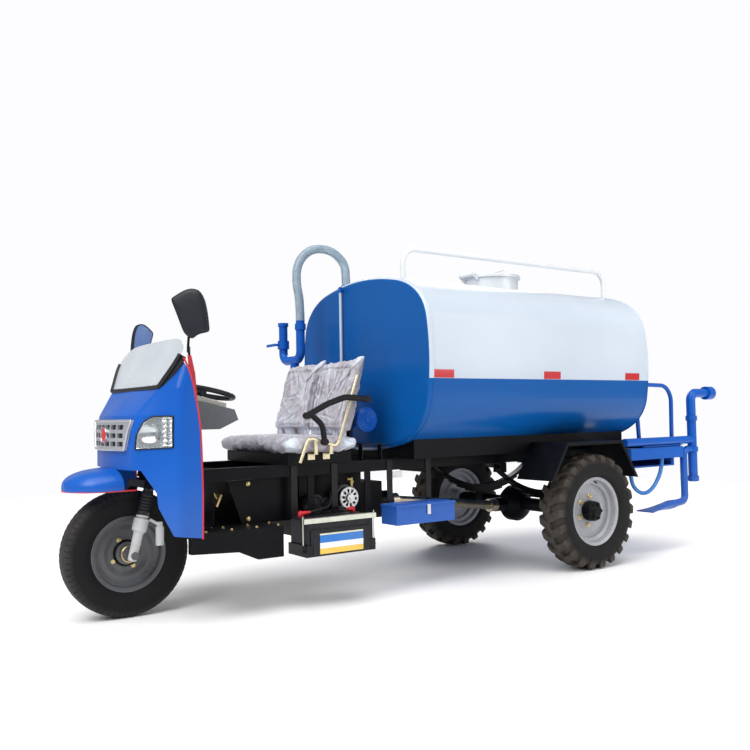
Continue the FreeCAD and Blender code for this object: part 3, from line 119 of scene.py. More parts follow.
# fine mottling of a painted screed, so that the shadow falls on something real
floor_paint, tree, shader, place = finish("matt_floor_paint", Roughness=0.62)
mottled(tree, shader, place, 0.9, 3.0, "#F3F2F1", "#FBFAF9")
round_edge = [(7.5 * math.cos(math.pi * k / 36), 7.5 * math.sin(math.pi * k / 36), 0) for k in range(72)]
floor = mesh_piece("studio_floor", round_edge, [tuple(range(72))], floor_paint, None)
world = bpy.data.worlds.new("studio")
bpy.context.scene.world = world
world.use_nodes = True
wall = world.node_tree.nodes["Background"]
wall.inputs["Color"].default_value = linear("#FDFDFF")
to_camera = add(world.node_tree, "LightPath").outputs["Is Camera Ray"]
seen = add(world.node_tree, "MapRange", {"Value": to_camera, "To Min": 0.40, "To Max": 1.0})
join(world.node_tree, seen.outputs["Result"], wall, "Strength")
for name, where, aim, size, watts in (("key", (2.6, -7.6, 6.2), (0, -0.6, 0.9), 4.5, 420),
                                      ("fill", (6.0, 3.5, 3.0), (0, 0.4, 0.8), 4.0, 150),
                                      ("back", (-5.5, 4.5, 5.0), (0, 0.3, 1.2), 4.0, 220)):
    lamp = bpy.data.lights.new(name, "AREA")
    lamp.size, lamp.energy = size, watts
    stand = bpy.data.objects.new(name, lamp)
    stand.location = where
    stand.rotation_euler = (Vector(aim) - Vector(where)).to_track_quat("-Z", "Y").to_euler()
    bpy.context.collection.objects.link(stand)
sky = bpy.data.lights.new("ceiling", "SUN")
sky.energy, sky.angle = 2.05, math.radians(50)
stand = bpy.data.objects.new("ceiling", sky)
stand.rotation_euler = (math.radians(16), math.radians(14), 0)
bpy.context.collection.objects.link(stand)


# Delivery hose: 60 mm ribbed PVC suction hose with a spiral wire cast into its
# wall, pushed on the riser and over the tank's edge to the filler, and the thin
# blue PVC drain hose that sags below the rear platform.
def at(x, d, z):
    """Point from millimetres: across, behind the front axle, and up."""
    return Vector((x / 1000, d / 1000 - 2.0, z / 1000))


def spline(name, points, radius, paint, body, kind="NURBS", closed=False, sides=8):
    """Curve with a round section, open or closed; a NURBS one keeps its ends on the end points."""
    data = bpy.data.curves.new(name, "CURVE")
    data.dimensions = "3D"
    run = data.splines.new(kind)
    if kind == "BEZIER":
        run.bezier_points.add(len(points) - 1)
        for knot, p in zip(run.bezier_points, points):
            knot.co = p
            knot.handle_left_type = knot.handle_right_type = "AUTO"
    else:
        run.points.add(len(points) - 1)
        for knot, p in zip(run.points, points):
            knot.co = (*p, 1.0)
    if kind == "NURBS":
        run.order_u = 3
        run.use_endpoint_u = True
    run.use_cyclic_u = closed
    data.resolution_u = 16
    data.bevel_depth, data.bevel_resolution, data.use_fill_caps = radius, sides, True
    data.materials.append(paint)
    made = bpy.data.objects.new(name, data)
    bpy.context.collection.objects.link(made)
    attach(made, body)
    return made


def walked(curve):
    """Points along a curve's own centre line, read from the curve without its round section."""
    bare = curve.copy()
    bare.data = curve.data.copy()
    bare.data.bevel_depth = 0
    bpy.context.collection.objects.link(bare)
    bpy.context.view_layer.update()
    line = bpy.data.meshes.new_from_object(bare.evaluated_get(bpy.context.evaluated_depsgraph_get()))
    points = [v.co.copy() for v in line.vertices]
    bpy.data.objects.remove(bare)
    return points, sum((b - a).length for a, b in zip(points, points[1:]))


# clear PVC gone milky, which lets the light in and looks grey blue
hose_pvc, tree, shader, place = finish("milky_spiral_hose_pvc", Roughness=0.22, IOR=1.45,
                                       Transmission_Weight=0.35, Subsurface_Weight=0.25)
cloud = mottled(tree, shader, place, 0.04, 4.0, "#8FA9BE", "#C4D2DC")
coarse = add(tree, "Bump", {"Height": cloud.outputs["Fac"], "Strength": 0.25, "Distance": 0.003})
join(tree, coarse.outputs["Normal"], shader, "Normal")
hose_points = [at(-390, 1295, 1640.3), at(-390, 1295, 1780), at(-392, 1268, 1900), at(-385, 1280, 2030),
               at(-362, 1370, 2122), at(-328, 1505, 2120), at(-304, 1592, 2035), at(-300, 1600, 1950),
               at(-300, 1600, 1879)]
hose = spline("delivery_hose_line", hose_points, 0.0285, hose_pvc, "chassis")
way, hose_length = walked(hose)


def helix(name, way, radius, pitch, wire, paint, body):
    """Wire wound round a hose at an even pitch."""
    walk, frame_up, points = 0.0, Vector((1, 0, 0)), []
    for a, b in zip(way, way[1:]):
        run = b - a
        steps = max(1, round(run.length / pitch * 14))
        side = run.cross(frame_up).normalized()
        frame_up = side.cross(run).normalized()
        for k in range(steps):
            angle = 2 * math.pi * (walk + run.length * k / steps) / pitch
            points.append(a + run * k / steps
                          + (side * math.cos(angle) + frame_up * math.sin(angle)) * radius)
        walk += run.length
    return spline(name, points, wire, paint, body, "POLY", sides=2)


rib = helix("delivery_hose_rib", way, 0.0275, 0.0125, 0.0028, hose_pvc, "chassis")
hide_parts("delivery_hose")

# soft coloured PVC, a little dull from dust
blue_pvc, tree, shader, place = finish("soft_blue_hose_pvc", Roughness=0.38, IOR=1.5)
mottled(tree, shader, place, 0.03, 3.0, "#1B5CA8", "#3D83C9")
drain_points = [at(600, 3700, 666.7), at(600, 3700, 592), at(600, 3617, 478), at(599, 3520, 425),
                at(598, 3425, 440), at(597, 3345, 520), at(597, 3345, 666.7)]
drain = spline("drain_hose_line", drain_points, 0.014, blue_pvc, "chassis")
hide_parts("drain_hose")
walked(drain)[1]

# Frame: rolled steel rails and cross-members, welded and sprayed black, with the
# floor, toe board, saddles, springs, axle, mudguards and brackets bolted to them.
# black frame enamel: satin, with road dust where it lies flat and low
frame_black, tree, shader, place = finish("black_frame_enamel", Roughness=0.40, IOR=1.5,
                                          Specular_IOR_Level=0.11, Coat_Weight=0.03, Coat_Roughness=0.3)
dust = add(tree, "TexNoise", {"Vector": place, "Scale": 1 / 0.12, "Detail": 6.0, "Roughness": 0.65})
up = add(tree, "SeparateXYZ", {"Vector": add(tree, "NewGeometry").outputs["Normal"]})
lies = add(tree, "MapRange", {"Value": up.outputs["Z"], "From Min": 0.3, "From Max": 1.0, "To Max": 0.5})
amount = add(tree, "Math", {0: dust.outputs["Fac"], 1: lies.outputs["Result"]}, operation="MULTIPLY")
thick = add(tree, "MapRange", {"Value": dust.outputs["Fac"], "From Min": 0.5, "From Max": 0.9,
                               "To Max": 0.22})
amount = add(tree, "Math", {0: amount.outputs[0], 1: thick.outputs["Result"]}, operation="ADD")
tone = add(tree, "Mix", {0: amount.outputs[0], 6: linear("#08090D"), 7: linear("#2C2B2C")}, data_type="RGBA")
join(tree, tone.outputs[2], shader, "Base Color")
peel = add(tree, "TexNoise", {"Vector": place, "Scale": 1 / 0.006, "Detail": 2.0})
bump = add(tree, "Bump", {"Height": peel.outputs["Fac"], "Strength": 0.12, "Distance": 0.0006})
join(tree, bump.outputs["Normal"], shader, "Normal")


def coat(paint, *names):
    """Gives CAD pieces their finish."""
    for name in names:
        cad[name].data.materials.clear()
        cad[name].data.materials.append(paint)


coat(frame_black, "chassis_rails", "frame_head", "toe_board", "cab_floor", "engine_cover", "fork_crown",
     "seat_frame", "engine_cradle", "tank_saddles", "rear_axle", "leaf_springs", "rear_mudguards",
     "steering_column", "engine")


# Bolts: hexagon heads of zinc-plated steel on washers, which hold the engine
# cover and the floor's sheet to the frame.
# zinc chromate plating: pale gold with dull patches
zinc, tree, shader, place = finish("gold_zinc_plating", Metallic=1.0, Roughness=0.32)
cloud = mottled(tree, shader, place, 0.02, 5.0, "#B99A5E", "#E2D3A4")
dull = add(tree, "MapRange", {"Value": cloud.outputs["Fac"], "To Min": 0.22, "To Max": 0.5})
join(tree, dull.outputs["Result"], shader, "Roughness")


def ring_faces(low, high, n):
    """Faces between two rings of n points each, from the numbers of their first points."""
    return [(low + k, low + (k + 1) % n, high + (k + 1) % n, high + k) for k in range(n)]


def bolts(name, places, toward, head, body, paint):
    """Hexagon heads with washers, all facing one way."""
    verts, faces = [], []
    turn = Vector(toward).to_track_quat("Z", "X").to_matrix()
    for spot in places:
        for sides, r, low, high in ((18, 0.78 * head, -0.001, 0.12 * head),
                                    (6, 0.56 * head, 0.1 * head, 0.55 * head)):
            first = len(verts)
            for level, size in ((low, r), (high, r), (high + 0.06 * head, 0.86 * r)):
                verts += [Vector(spot) + turn @ Vector((size * math.cos(a), size * math.sin(a), level))
                          for a in (2 * math.pi * k / sides for k in range(sides))]
            faces += ring_faces(first, first + sides, sides)
            faces += ring_faces(first + sides, first + 2 * sides, sides)
            faces.append(tuple(first + 2 * sides + k for k in range(sides)))
    return mesh_piece(name, verts, faces, paint, body, 30)


bolts("cover_bolts", [at(300.5, 560, 476), at(300.5, 838, 474), at(300.5, 560, 664), at(300.5, 838, 664)],
      (1, 0, 0), 0.016, "chassis", zinc)
spots = [at(x * s, d, 450.3) for s in (1, -1) for x in (350, 455) for d in (250, 390, 530, 655)]
bolts("floor_bolts", spots, (0, 0, 1), 0.014, "chassis", zinc)
coat(zinc, "pedals")


# Armrest: a forked arm moulded in black polypropylene, bolted to a bent steel rod
# that runs up the seat's side and is plated like the bolts.
def zone(tree, place, low, high):
    """One inside a box of the vehicle's frame and nought outside it; None leaves a side open."""
    axes, share = add(tree, "SeparateXYZ", {"Vector": place}), None
    for axis, start, end in zip("XYZ", low, high):
        for edge, test in ((start, "GREATER_THAN"), (end, "LESS_THAN")):
            if edge is not None:
                step = add(tree, "Math", {0: axes.outputs[axis], 1: edge}, operation=test).outputs[0]
                if share is not None:
                    step = add(tree, "Math", {0: share, 1: step}, operation="MULTIPLY").outputs[0]
                share = step
    return share


# plated and dull gold on the rod; black with a fine grain on the arm
arm_mix, tree, shader, place = finish("plated_rod_and_moulded_arm", Specular_IOR_Level=0.2)
moulded = zone(tree, place, (0.4402, None, None), (None, None, None))
cloud = add(tree, "TexNoise", {"Vector": place, "Scale": 1 / 0.02, "Detail": 5.0})
grain = add(tree, "TexVoronoi", {"Vector": place, "Scale": 1 / 0.004})
gold = add(tree, "Mix", {0: cloud.outputs["Fac"], 6: linear("#C3B183"), 7: linear("#EFE6CB")},
           data_type="RGBA")
dark = add(tree, "Mix", {0: cloud.outputs["Fac"], 6: linear("#08090C"), 7: linear("#121318")},
           data_type="RGBA")
tone = add(tree, "Mix", {0: moulded, 6: gold.outputs[2], 7: dark.outputs[2]}, data_type="RGBA")
join(tree, tone.outputs[2], shader, "Base Color")
level = add(tree, "MapRange", {"Value": moulded, "To Min": 0.85, "To Max": 0.0})
join(tree, level.outputs["Result"], shader, "Metallic")
level = add(tree, "MapRange", {"Value": moulded, "To Min": 0.30, "To Max": 0.42})
join(tree, level.outputs["Result"], shader, "Roughness")
bump = add(tree, "Bump", {"Height": grain.outputs["Distance"], "Strength": 0.2, "Distance": 0.0005})
join(tree, bump.outputs["Normal"], shader, "Normal")
coat(arm_mix, "armrest")

# Tyres: nylon cords and tread moulded in natural rubber; the front one has ribs,
# the rear ones deep staggered lugs for soft ground.
def tyre_rubber(name, centre, wall_r, outer_r, dusty):
    """Carbon-black rubber: a near-black sidewall with moulded rings, and a tread grey with dust."""
    made, tree, shader, place = finish(name, Roughness=0.66, IOR=1.5, Specular_IOR_Level=0.14)
    inward = tuple(-c for c in centre)
    from_hub = add(tree, "VectorMath", {0: place, 1: inward}, operation="ADD").outputs[0]
    spoke = add(tree, "VectorMath", {0: from_hub, 1: (0.0, 1.0, 1.0)}, operation="MULTIPLY")
    r = add(tree, "VectorMath", {0: spoke.outputs[0]}, operation="LENGTH").outputs["Value"]
    grit = add(tree, "TexNoise", {"Vector": place, "Scale": 1 / 0.05, "Detail": 8.0, "Roughness": 0.7})
    share = add(tree, "MapRange", {"Value": r, "From Min": wall_r, "From Max": outer_r, "To Min": 0.12,
                                   "To Max": 1.0})
    share = add(tree, "Math", {0: share.outputs["Result"], 1: grit.outputs["Fac"]}, operation="MULTIPLY")
    tone = add(tree, "Mix", {0: share.outputs[0], 6: linear("#121316"), 7: linear(dusty)}, data_type="RGBA")
    join(tree, tone.outputs[2], shader, "Base Color")
    ring = add(tree, "Math", {0: r, 1: 2 * math.pi / 0.009}, operation="MULTIPLY").outputs[0]
    ring = add(tree, "Math", {0: ring}, operation="SINE")
    keepin = add(tree, "MapRange", {"Value": r, "From Min": wall_r, "From Max": wall_r - 0.004,
                                    "To Min": 0.0, "To Max": 1.0})
    ring = add(tree, "Math", {0: ring.outputs[0], 1: keepin.outputs["Result"]}, operation="MULTIPLY")
    first = add(tree, "Bump", {"Height": ring.outputs[0], "Strength": 0.35, "Distance": 0.0008})
    second = add(tree, "Bump", {"Height": grit.outputs["Fac"], "Strength": 0.5, "Distance": 0.0015,
                                "Normal": first.outputs["Normal"]})
    join(tree, second.outputs["Normal"], shader, "Normal")
    return made


def tyre(name, centre, half, pitches, phases, paint, body, node, wave=0.0):
    """Ring of rubber from rows of (across, radius, lug across, lug radius, skew, kind).

    A row of kind 0 is bare, one of kind 1 is raised all round, and one of kind 2 is raised in lugs.
    """
    rows = [(-x, r, -dx, dr, skew, kind, 0.5) for x, r, dx, dr, skew, kind in reversed(half)]
    rows += [(x, r, dx, dr, skew, kind, 0.0) for x, r, dx, dr, skew, kind in half]
    verts, faces, span = [], [], len(phases)
    count = pitches * span
    for x, r, dx, dr, skew, kind, stagger in rows:
        for k in range(pitches):
            for phase, raised in phases:
                h = (0, 1, raised)[kind]
                a = 2 * math.pi * (k + phase + skew + stagger) / pitches
                across = x + dx * h + (wave * (2 * abs(2 * phase - 1) - 1) if 0 < abs(x) < 0.06 else 0)
                radius = r + dr * h
                verts.append((centre[0] + across, centre[1] + radius * math.sin(a),
                              centre[2] + radius * math.cos(a)))
    for j in range(len(rows) - 1):
        faces += [(a, d, c, b) for a, b, c, d in ring_faces(j * count, (j + 1) * count, count)]
    made = mesh_piece(name, verts, faces, paint, body, 32)
    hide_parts(node)
    return made


front_rows = [(0.0, 0.325, 0, 0, 0, 0), (0.016, 0.3245, 0, 0, 0, 0), (0.0165, 0.317, 0, 0, 0, 0),
              (0.021, 0.317, 0, 0, 0, 0), (0.0215, 0.3242, 0, 0, 0, 0), (0.040, 0.323, 0, 0, 0, 0),
              (0.0405, 0.3155, 0, 0, 0, 0), (0.0455, 0.315, 0, 0, 0, 0), (0.046, 0.3222, 0, 0, 0, 0),
              (0.054, 0.3165, 0, 0.0045, 0, 2), (0.063, 0.3115, 0.001, 0.004, 0, 2),
              (0.071, 0.303, 0.0015, 0.003, 0, 2), (0.0765, 0.291, 0.001, 0, 0, 2),
              (0.0795, 0.275, 0, 0, 0, 0), (0.080, 0.262, 0, 0, 0, 0), (0.0785, 0.243, 0, 0, 0, 0),
              (0.073, 0.225, 0, 0, 0, 0), (0.064, 0.209, 0, 0, 0, 0), (0.060, 0.203, 0, 0, 0, 0),
              (0.0585, 0.196, 0, 0, 0, 0), (0.054, 0.190, 0, 0, 0, 0)]
front_hub, block = (0, -2.0, 0.325), [(0, 0), (0.06, 1), (0.3, 1), (0.55, 1), (0.8, 1), (0.86, 0)]
dusty_rubber = tyre_rubber("front_tyre_rubber", front_hub, 0.285, 0.325, "#4A4744")
tyre("front_tyre_ribbed", front_hub, front_rows, 66, block, dusty_rubber, "front_wheel", "front_tyre", 0.0016)
rear_rows = [(0.010, 0.349, 0, 0.021, 0, 1), (0.0135, 0.349, 0, 0.021, 0.02, 2),
             (0.040, 0.348, 0, 0.021, 0.14, 2), (0.066, 0.343, 0, 0.0235, 0.28, 2),
             (0.079, 0.333, 0.003, 0.029, 0.36, 2), (0.0875, 0.320, 0.0055, 0.020, 0.38, 2),
             (0.092, 0.304, 0.002, 0.005, 0.40, 2), (0.0945, 0.292, 0.0004, 0, 0.40, 2),
             (0.0948, 0.272, 0, 0, 0.40, 0), (0.0925, 0.253, 0, 0, 0.40, 0), (0.087, 0.238, 0, 0, 0.40, 0),
             (0.080, 0.229, 0, 0, 0.40, 0), (0.0755, 0.226, 0, 0, 0.40, 0), (0.0745, 0.219, 0, 0, 0.40, 0),
             (0.068, 0.214, 0, 0, 0.40, 0)]
rear_hubs = {"left": (0.66, 0.82, 0.37), "right": (-0.66, 0.82, 0.37)}
lug = [(0, 0), (0.03, 0.85), (0.06, 1), (0.2, 1), (0.36, 1), (0.5, 1), (0.53, 0.85), (0.56, 0), (0.7, 0),
       (0.85, 0)]
for side, centre in rear_hubs.items():
    dusty_rubber = tyre_rubber("rear_tyre_rubber_" + side, centre, 0.305, 0.345, "#5C554D")
    tyre("rear_tyre_lugged_" + side, centre, rear_rows, 22, lug, dusty_rubber, "rear_wheel_" + side,
         "rear_tyre_" + side)


# Wheels: pressed steel discs welded into rolled rims. The front one is sprayed
# dark grey, the rear ones silver, and each is held to its hub by plated studs.
def wheel_enamel(name, dark, light, grime):
    """Stove enamel on pressed steel: even and satin, with brake dust caught in its rings."""
    made, tree, shader, place = finish(name, Roughness=0.42, IOR=1.5, Metallic=0.15)
    cloud = add(tree, "TexNoise", {"Vector": place, "Scale": 1 / 0.08, "Detail": 6.0, "Roughness": 0.6})
    tone = add(tree, "Mix", {0: cloud.outputs["Fac"], 6: linear(dark), 7: linear(light)}, data_type="RGBA")
    spots = add(tree, "TexNoise", {"Vector": place, "Scale": 1 / 0.012, "Detail": 3.0})
    share = add(tree, "MapRange", {"Value": spots.outputs["Fac"], "From Min": 0.58, "From Max": 0.75,
                                   "To Max": 0.5})
    tone = add(tree, "Mix", {0: share.outputs["Result"], 6: tone.outputs[2], 7: linear(grime)},
               data_type="RGBA")
    join(tree, tone.outputs[2], shader, "Base Color")
    bump = add(tree, "Bump", {"Height": spots.outputs["Fac"], "Strength": 0.1, "Distance": 0.0005})
    join(tree, bump.outputs["Normal"], shader, "Normal")
    return made


def turned(name, profile, centre, paint, body, axis=(1, 0, 0), steps=96, angle=32):
    """Piece turned from an outline of (along, radius) points."""
    turn = Vector(axis).to_track_quat("X", "Z").to_matrix()
    verts, faces, rings = [], [], len(profile)
    for along, r in profile:
        verts += [Vector(centre) + turn @ Vector((along, r * math.sin(a), r * math.cos(a)))
                  for a in (2 * math.pi * k / steps for k in range(steps))]
    for j in range(rings - 1):
        faces += ring_faces(j * steps, (j + 1) * steps, steps)
    for j in (0, rings - 1):
        if profile[j][1] > 0.0005:
            ring = tuple(range(j * steps, (j + 1) * steps))
            faces.append(ring if j == 0 else ring[::-1])
    return mesh_piece(name, verts, faces, paint, body, angle)


dark_wheel = wheel_enamel("dark_grey_stove_enamel", "#4C4D51", "#5E5F63", "#2B2927")
silver_wheel = wheel_enamel("silver_stove_enamel", "#8F9196", "#A9ABAF", "#6A635B")
coat(dark_wheel, "front_wheel")
for side, s in (("left", 1), ("right", -1)):
    wheel, centre = "rear_wheel_" + side, Vector(rear_hubs[side])
    coat(silver_wheel, wheel)
    profile = [(0.0, 0.060), (0.014 * s, 0.064), (0.022 * s, 0.067), (0.060 * s, 0.063), (0.068 * s, 0.056),
               (0.071 * s, 0.040), (0.080 * s, 0.036), (0.085 * s, 0.029), (0.086 * s, 0.0)]
    turned("rear_hub_cap_" + side, profile, centre, frame_black, wheel, steps=64)
    for name, x, r, first, head, slot, paint in (
            ("rear_hub_screws_", 0.066, 0.049, 0.0, 0.019, "black", frame_black),
            ("rear_studs_", 0.008, 0.092, 0.4, 0.021, "zinc", zinc)):
        turns = [math.pi / 3 * k + first for k in range(6)]
        spots = [centre + Vector((x * s, r * math.cos(a), r * math.sin(a))) for a in turns]
        bolts(name + side, spots, (s, 0, 0), head, wheel, paint)
    valve = [centre + Vector((0.064 * s, 0.0, 0.19)), centre + Vector((0.085 * s, 0.0, 0.182))]
    spline("rear_valve_" + side, valve, 0.005, frame_black, wheel, "POLY")
hub, face = Vector(front_hub), 0.0123
for side, s in (("left", 1), ("right", -1)):
    profile = [(face * s, 0.0690), ((face + 0.003) * s, 0.0690), ((face + 0.0045) * s, 0.067),
               ((face + 0.0045) * s, 0.0535)]
    turned("front_hub_plate_" + side, profile, hub, frame_black, "front_wheel", steps=64)
    profile = [(0.060 * s, 0.0405), (0.061 * s, 0.0440), (0.069 * s, 0.0445), (0.071 * s, 0.0425),
               (0.071 * s, 0.0372)]
    turned("front_hub_nut_" + side, profile, hub, zinc, "front_wheel", steps=48)
    turns = [math.pi / 2 * k + 0.5 for k in range(4)]
    studs = [hub + Vector((0.012 * s, 0.0775 * math.cos(a), 0.0775 * math.sin(a))) for a in turns]
    bolts("front_studs_" + side, studs, (s, 0, 0), 0.016, "front_wheel", zinc)

# Fork: cast alloy sliders with a wide collar, black rubber gaiters over the
# stanchions, and a small damper clamped to each leg.
# cast aluminium, pale and grainy below; moulded rubber above the collar
cast, tree, shader, place = finish("cast_alloy_and_rubber", Roughness=0.5)
height = add(tree, "SeparateXYZ", {"Vector": place}).outputs["Z"]
grain = add(tree, "TexNoise", {"Vector": place, "Scale": 1 / 0.003, "Detail": 3.0})
cloud = add(tree, "TexNoise", {"Vector": place, "Scale": 1 / 0.05, "Detail": 5.0})
tone = add(tree, "Mix", {0: cloud.outputs["Fac"], 6: linear("#9FA1A3"), 7: linear("#CFD0CF")},
           data_type="RGBA")
above = add(tree, "MapRange", {"Value": height, "From Min": 0.5295, "From Max": 0.5305})
tone = add(tree, "Mix", {0: above.outputs["Result"], 6: tone.outputs[2], 7: linear("#15161A")},
           data_type="RGBA")
join(tree, tone.outputs[2], shader, "Base Color")
bump = add(tree, "Bump", {"Height": grain.outputs["Fac"], "Strength": 0.3, "Distance": 0.0006})
join(tree, bump.outputs["Normal"], shader, "Normal")
coat(cast, "fork_legs")
# moulded rubber: black and matt, with a fine grain
rubber, tree, shader, place = finish("moulded_black_rubber", Roughness=0.5, IOR=1.5, Specular_IOR_Level=0.3)
grain = mottled(tree, shader, place, 0.004, 4.0, "#0F0F11", "#26262A")
bump = add(tree, "Bump", {"Height": grain.outputs["Fac"], "Strength": 0.25, "Distance": 0.0006})
join(tree, bump.outputs["Normal"], shader, "Normal")
rake = math.radians(14)
lean = Vector((0, math.sin(rake), math.cos(rake)))
for side, x in (("left", 0.12), ("right", -0.12)):
    foot = Vector((x, *front_hub[1:])) + lean * 0.205
    folds = [(0.0, 0.0315)]
    for k in range(7):
        folds += [(0.006 + 0.016 * k, 0.0345), (0.013 + 0.016 * k, 0.0290)]
    profile = folds + [(0.122, 0.0285), (0.124, 0.026)]
    turned("fork_gaiter_" + side, profile, foot, rubber, "fork", axis=lean, steps=48, angle=60)
coat(dark_wheel, "front_axle")

# Cab shroud, beak and windscreen posts: pressed sheet steel in gloss enamel, the
# shell blue, with a red rubber edging pressed on along its rear edges.
def blue_enamel(name, low=None, high=None, other=None):
    """Blue gloss enamel, deep and wet, with orange peel, faint dents and dust low down.

    Inside a box of the vehicle's frame it may give way to another colour.
    """
    made, tree, shader, place = finish(name, Roughness=0.3, IOR=1.5, Specular_IOR_Level=0.22,
                                       Coat_Weight=0.1, Coat_Roughness=0.12)
    cloud = add(tree, "TexNoise", {"Vector": place, "Scale": 1 / 0.35, "Detail": 4.0})
    tone = add(tree, "Mix", {0: cloud.outputs["Fac"], 6: linear("#0A4DA6"), 7: linear("#115CB9")},
               data_type="RGBA")
    height = add(tree, "SeparateXYZ", {"Vector": place}).outputs["Z"]
    dusty = add(tree, "MapRange", {"Value": height, "From Min": 0.75, "From Max": 0.25, "To Min": 0.0,
                                   "To Max": 0.35})
    specks = add(tree, "TexNoise", {"Vector": place, "Scale": 1 / 0.02, "Detail": 8.0, "Roughness": 0.75})
    share = add(tree, "Math", {0: dusty.outputs["Result"], 1: specks.outputs["Fac"]}, operation="MULTIPLY")
    tone = add(tree, "Mix", {0: share.outputs[0], 6: tone.outputs[2], 7: linear("#77808A")}, data_type="RGBA")
    if other:
        tone = add(tree, "Mix", {0: zone(tree, place, low, high), 6: tone.outputs[2], 7: linear(other)},
                   data_type="RGBA")
    join(tree, tone.outputs[2], shader, "Base Color")
    peel = add(tree, "TexNoise", {"Vector": place, "Scale": 1 / 0.007, "Detail": 2.0})
    dents = add(tree, "Bump", {"Height": cloud.outputs["Fac"], "Strength": 0.3, "Distance": 0.006})
    bump = add(tree, "Bump", {"Height": peel.outputs["Fac"], "Strength": 0.10, "Distance": 0.0007,
                              "Normal": dents.outputs["Normal"]})
    join(tree, bump.outputs["Normal"], shader, "Normal")
    return made


blue_gloss = blue_enamel("blue_gloss_enamel")
coat(blue_gloss, "front_fender", "toolbox_lid", "front_pipes", "rear_platform", "guard_loops", "rear_pipes")
# the same enamel on pieces whose glass corners, hangers, stand or gauge tube are not blue
gauge_low, gauge_high = (None, None, 1.076), (None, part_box("tank")[0][1] - 0.010, 1.81)
for name, part_of, low, high, other in (
        ("cab_shroud", "and_black_glass_corners", (-0.386, None, 1.232), (0.386, None, None), "#141519"),
        ("toolbox", "on_black_hangers", (None, None, None), (0.3605, None, None), "#0D0E12"),
        ("pump", "on_black_stand", (None, None, None), (None, None, 0.8499), "#0D0E12"),
        ("tank_fittings", "and_milky_gauge_tube", gauge_low, gauge_high, "#B9CBDB")):
    coat(blue_enamel("blue_enamel_" + part_of, low, high, other), name)
# red gloss for the posts and the edging: brighter, slightly waxy
red_gloss, tree, shader, place = finish("red_gloss_enamel", Roughness=0.3, IOR=1.5, Coat_Weight=0.3,
                                        Coat_Roughness=0.15)
mottled(tree, shader, place, 0.06, 4.0, "#B01224", "#D01F31")
coat(red_gloss, "windscreen_posts")
for side, s in (("left", 1), ("right", -1)):
    line = [(131, 1316), (150, 1276), (165, 1238), (195, 1107), (214, 984), (220, 890), (223, 799),
            (226.5, 664), (226, 540), (225, 424)]
    spline("shroud_edging_" + side, [at(478.5 * s, d, z) for d, z in line], 0.0048, red_gloss, "chassis",
           "BEZIER")
rim = [(-6, 200), (-60, 199.5), (-150, 194), (-230, 160), (-285, 104), (-316, 24)]
spline("beak_edging", [at(x, d, 661) for d, x in rim] + [at(-x, d, 661) for d, x in reversed(rim)], 0.0042,
       red_gloss, "chassis")

# Windscreen: a bent clear acrylic pane, cut to its outline and pressed into a
# black rubber strip along its foot; hazy from dust, so that it reads as pale.
haze, tree, shader, place = finish("hazy_clear_acrylic", Roughness=0.18, IOR=1.49, Transmission_Weight=0.45)
cloud = mottled(tree, shader, place, 0.15, 5.0, "#C9D4DF", "#E2EAF0")
level = add(tree, "MapRange", {"Value": cloud.outputs["Fac"], "To Min": 0.08, "To Max": 0.4})
join(tree, level.outputs["Result"], shader, "Roughness")
foot = [(0, -6), (250, -6), (352, -4), (364, 4), (372, 22), (418, 92), (446, 150), (447, 172)]
top = [(452, 190), (447, 206), (438, 219), (423, 233), (398, 248), (360, 262), (318, 271), (270, 276),
       (150, 279), (0, 280)]


def glazed(x, t, out):
    """Point of the pane: across, up its slope, and out from its face."""
    lean_y, lean_z = math.sin(math.radians(26)), math.cos(math.radians(26))
    return at(x, 66 + t * lean_y - out * lean_z, 1170 + t * lean_z + out * lean_y)


half = foot + top
edge = half + [(-x, t) for x, t in reversed(half[1:-1])]
n = len(edge)
layers = ((15.5, 1.0), (15.5, 0.6), (18.5, 0.6), (18.5, 1.0))
verts = [glazed(x * size, 130 + (t - 130) * size, out) for out, size in layers for x, t in edge]
faces = ring_faces(0, n, n) + ring_faces(2 * n, 3 * n, n) + ring_faces(3 * n, 0, n)
faces += [tuple(range(n, 2 * n)), tuple(range(3 * n - 1, 2 * n - 1, -1))]
pane = mesh_piece("windscreen_pane", verts, faces, haze, "chassis", 40)
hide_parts("windscreen")
coat(rubber, "windscreen_seal")
line = [(-x, t) for x, t in reversed(foot[1:])] + foot
spline("windscreen_bead", [glazed(x, t, 17) for x, t in line], 0.0125, rubber, "chassis")

# Grille: moulded ABS sprayed silver, with a dark net behind its slots and a plain
# red enamel boss in a plated ring in the middle.
# polypropylene with a leather grain, drawn 4 mm wide so that it shows: black and dull
black_plastic, tree, shader, place = finish("grained_black_polypropylene", Roughness=0.45, IOR=1.5,
                                            Specular_IOR_Level=0.3)
grain = add(tree, "TexVoronoi", {"Vector": place, "Scale": 1 / 0.004})
mottled(tree, shader, place, 0.06, 4.0, "#10141A", "#1A1F27")
bump = add(tree, "Bump", {"Height": grain.outputs["Distance"], "Strength": 0.25, "Distance": 0.0006})
join(tree, bump.outputs["Normal"], shader, "Normal")
# chrome plate on ABS: bright, with duller patches where it was wiped
chrome, tree, shader, place = finish("chromed_abs", Metallic=1.0, Roughness=0.12)
cloud = mottled(tree, shader, place, 0.03, 4.0, "#A6AAB0", "#D9DCDF")
level = add(tree, "MapRange", {"Value": cloud.outputs["Fac"], "To Min": 0.10, "To Max": 0.30})
join(tree, level.outputs["Result"], shader, "Roughness")
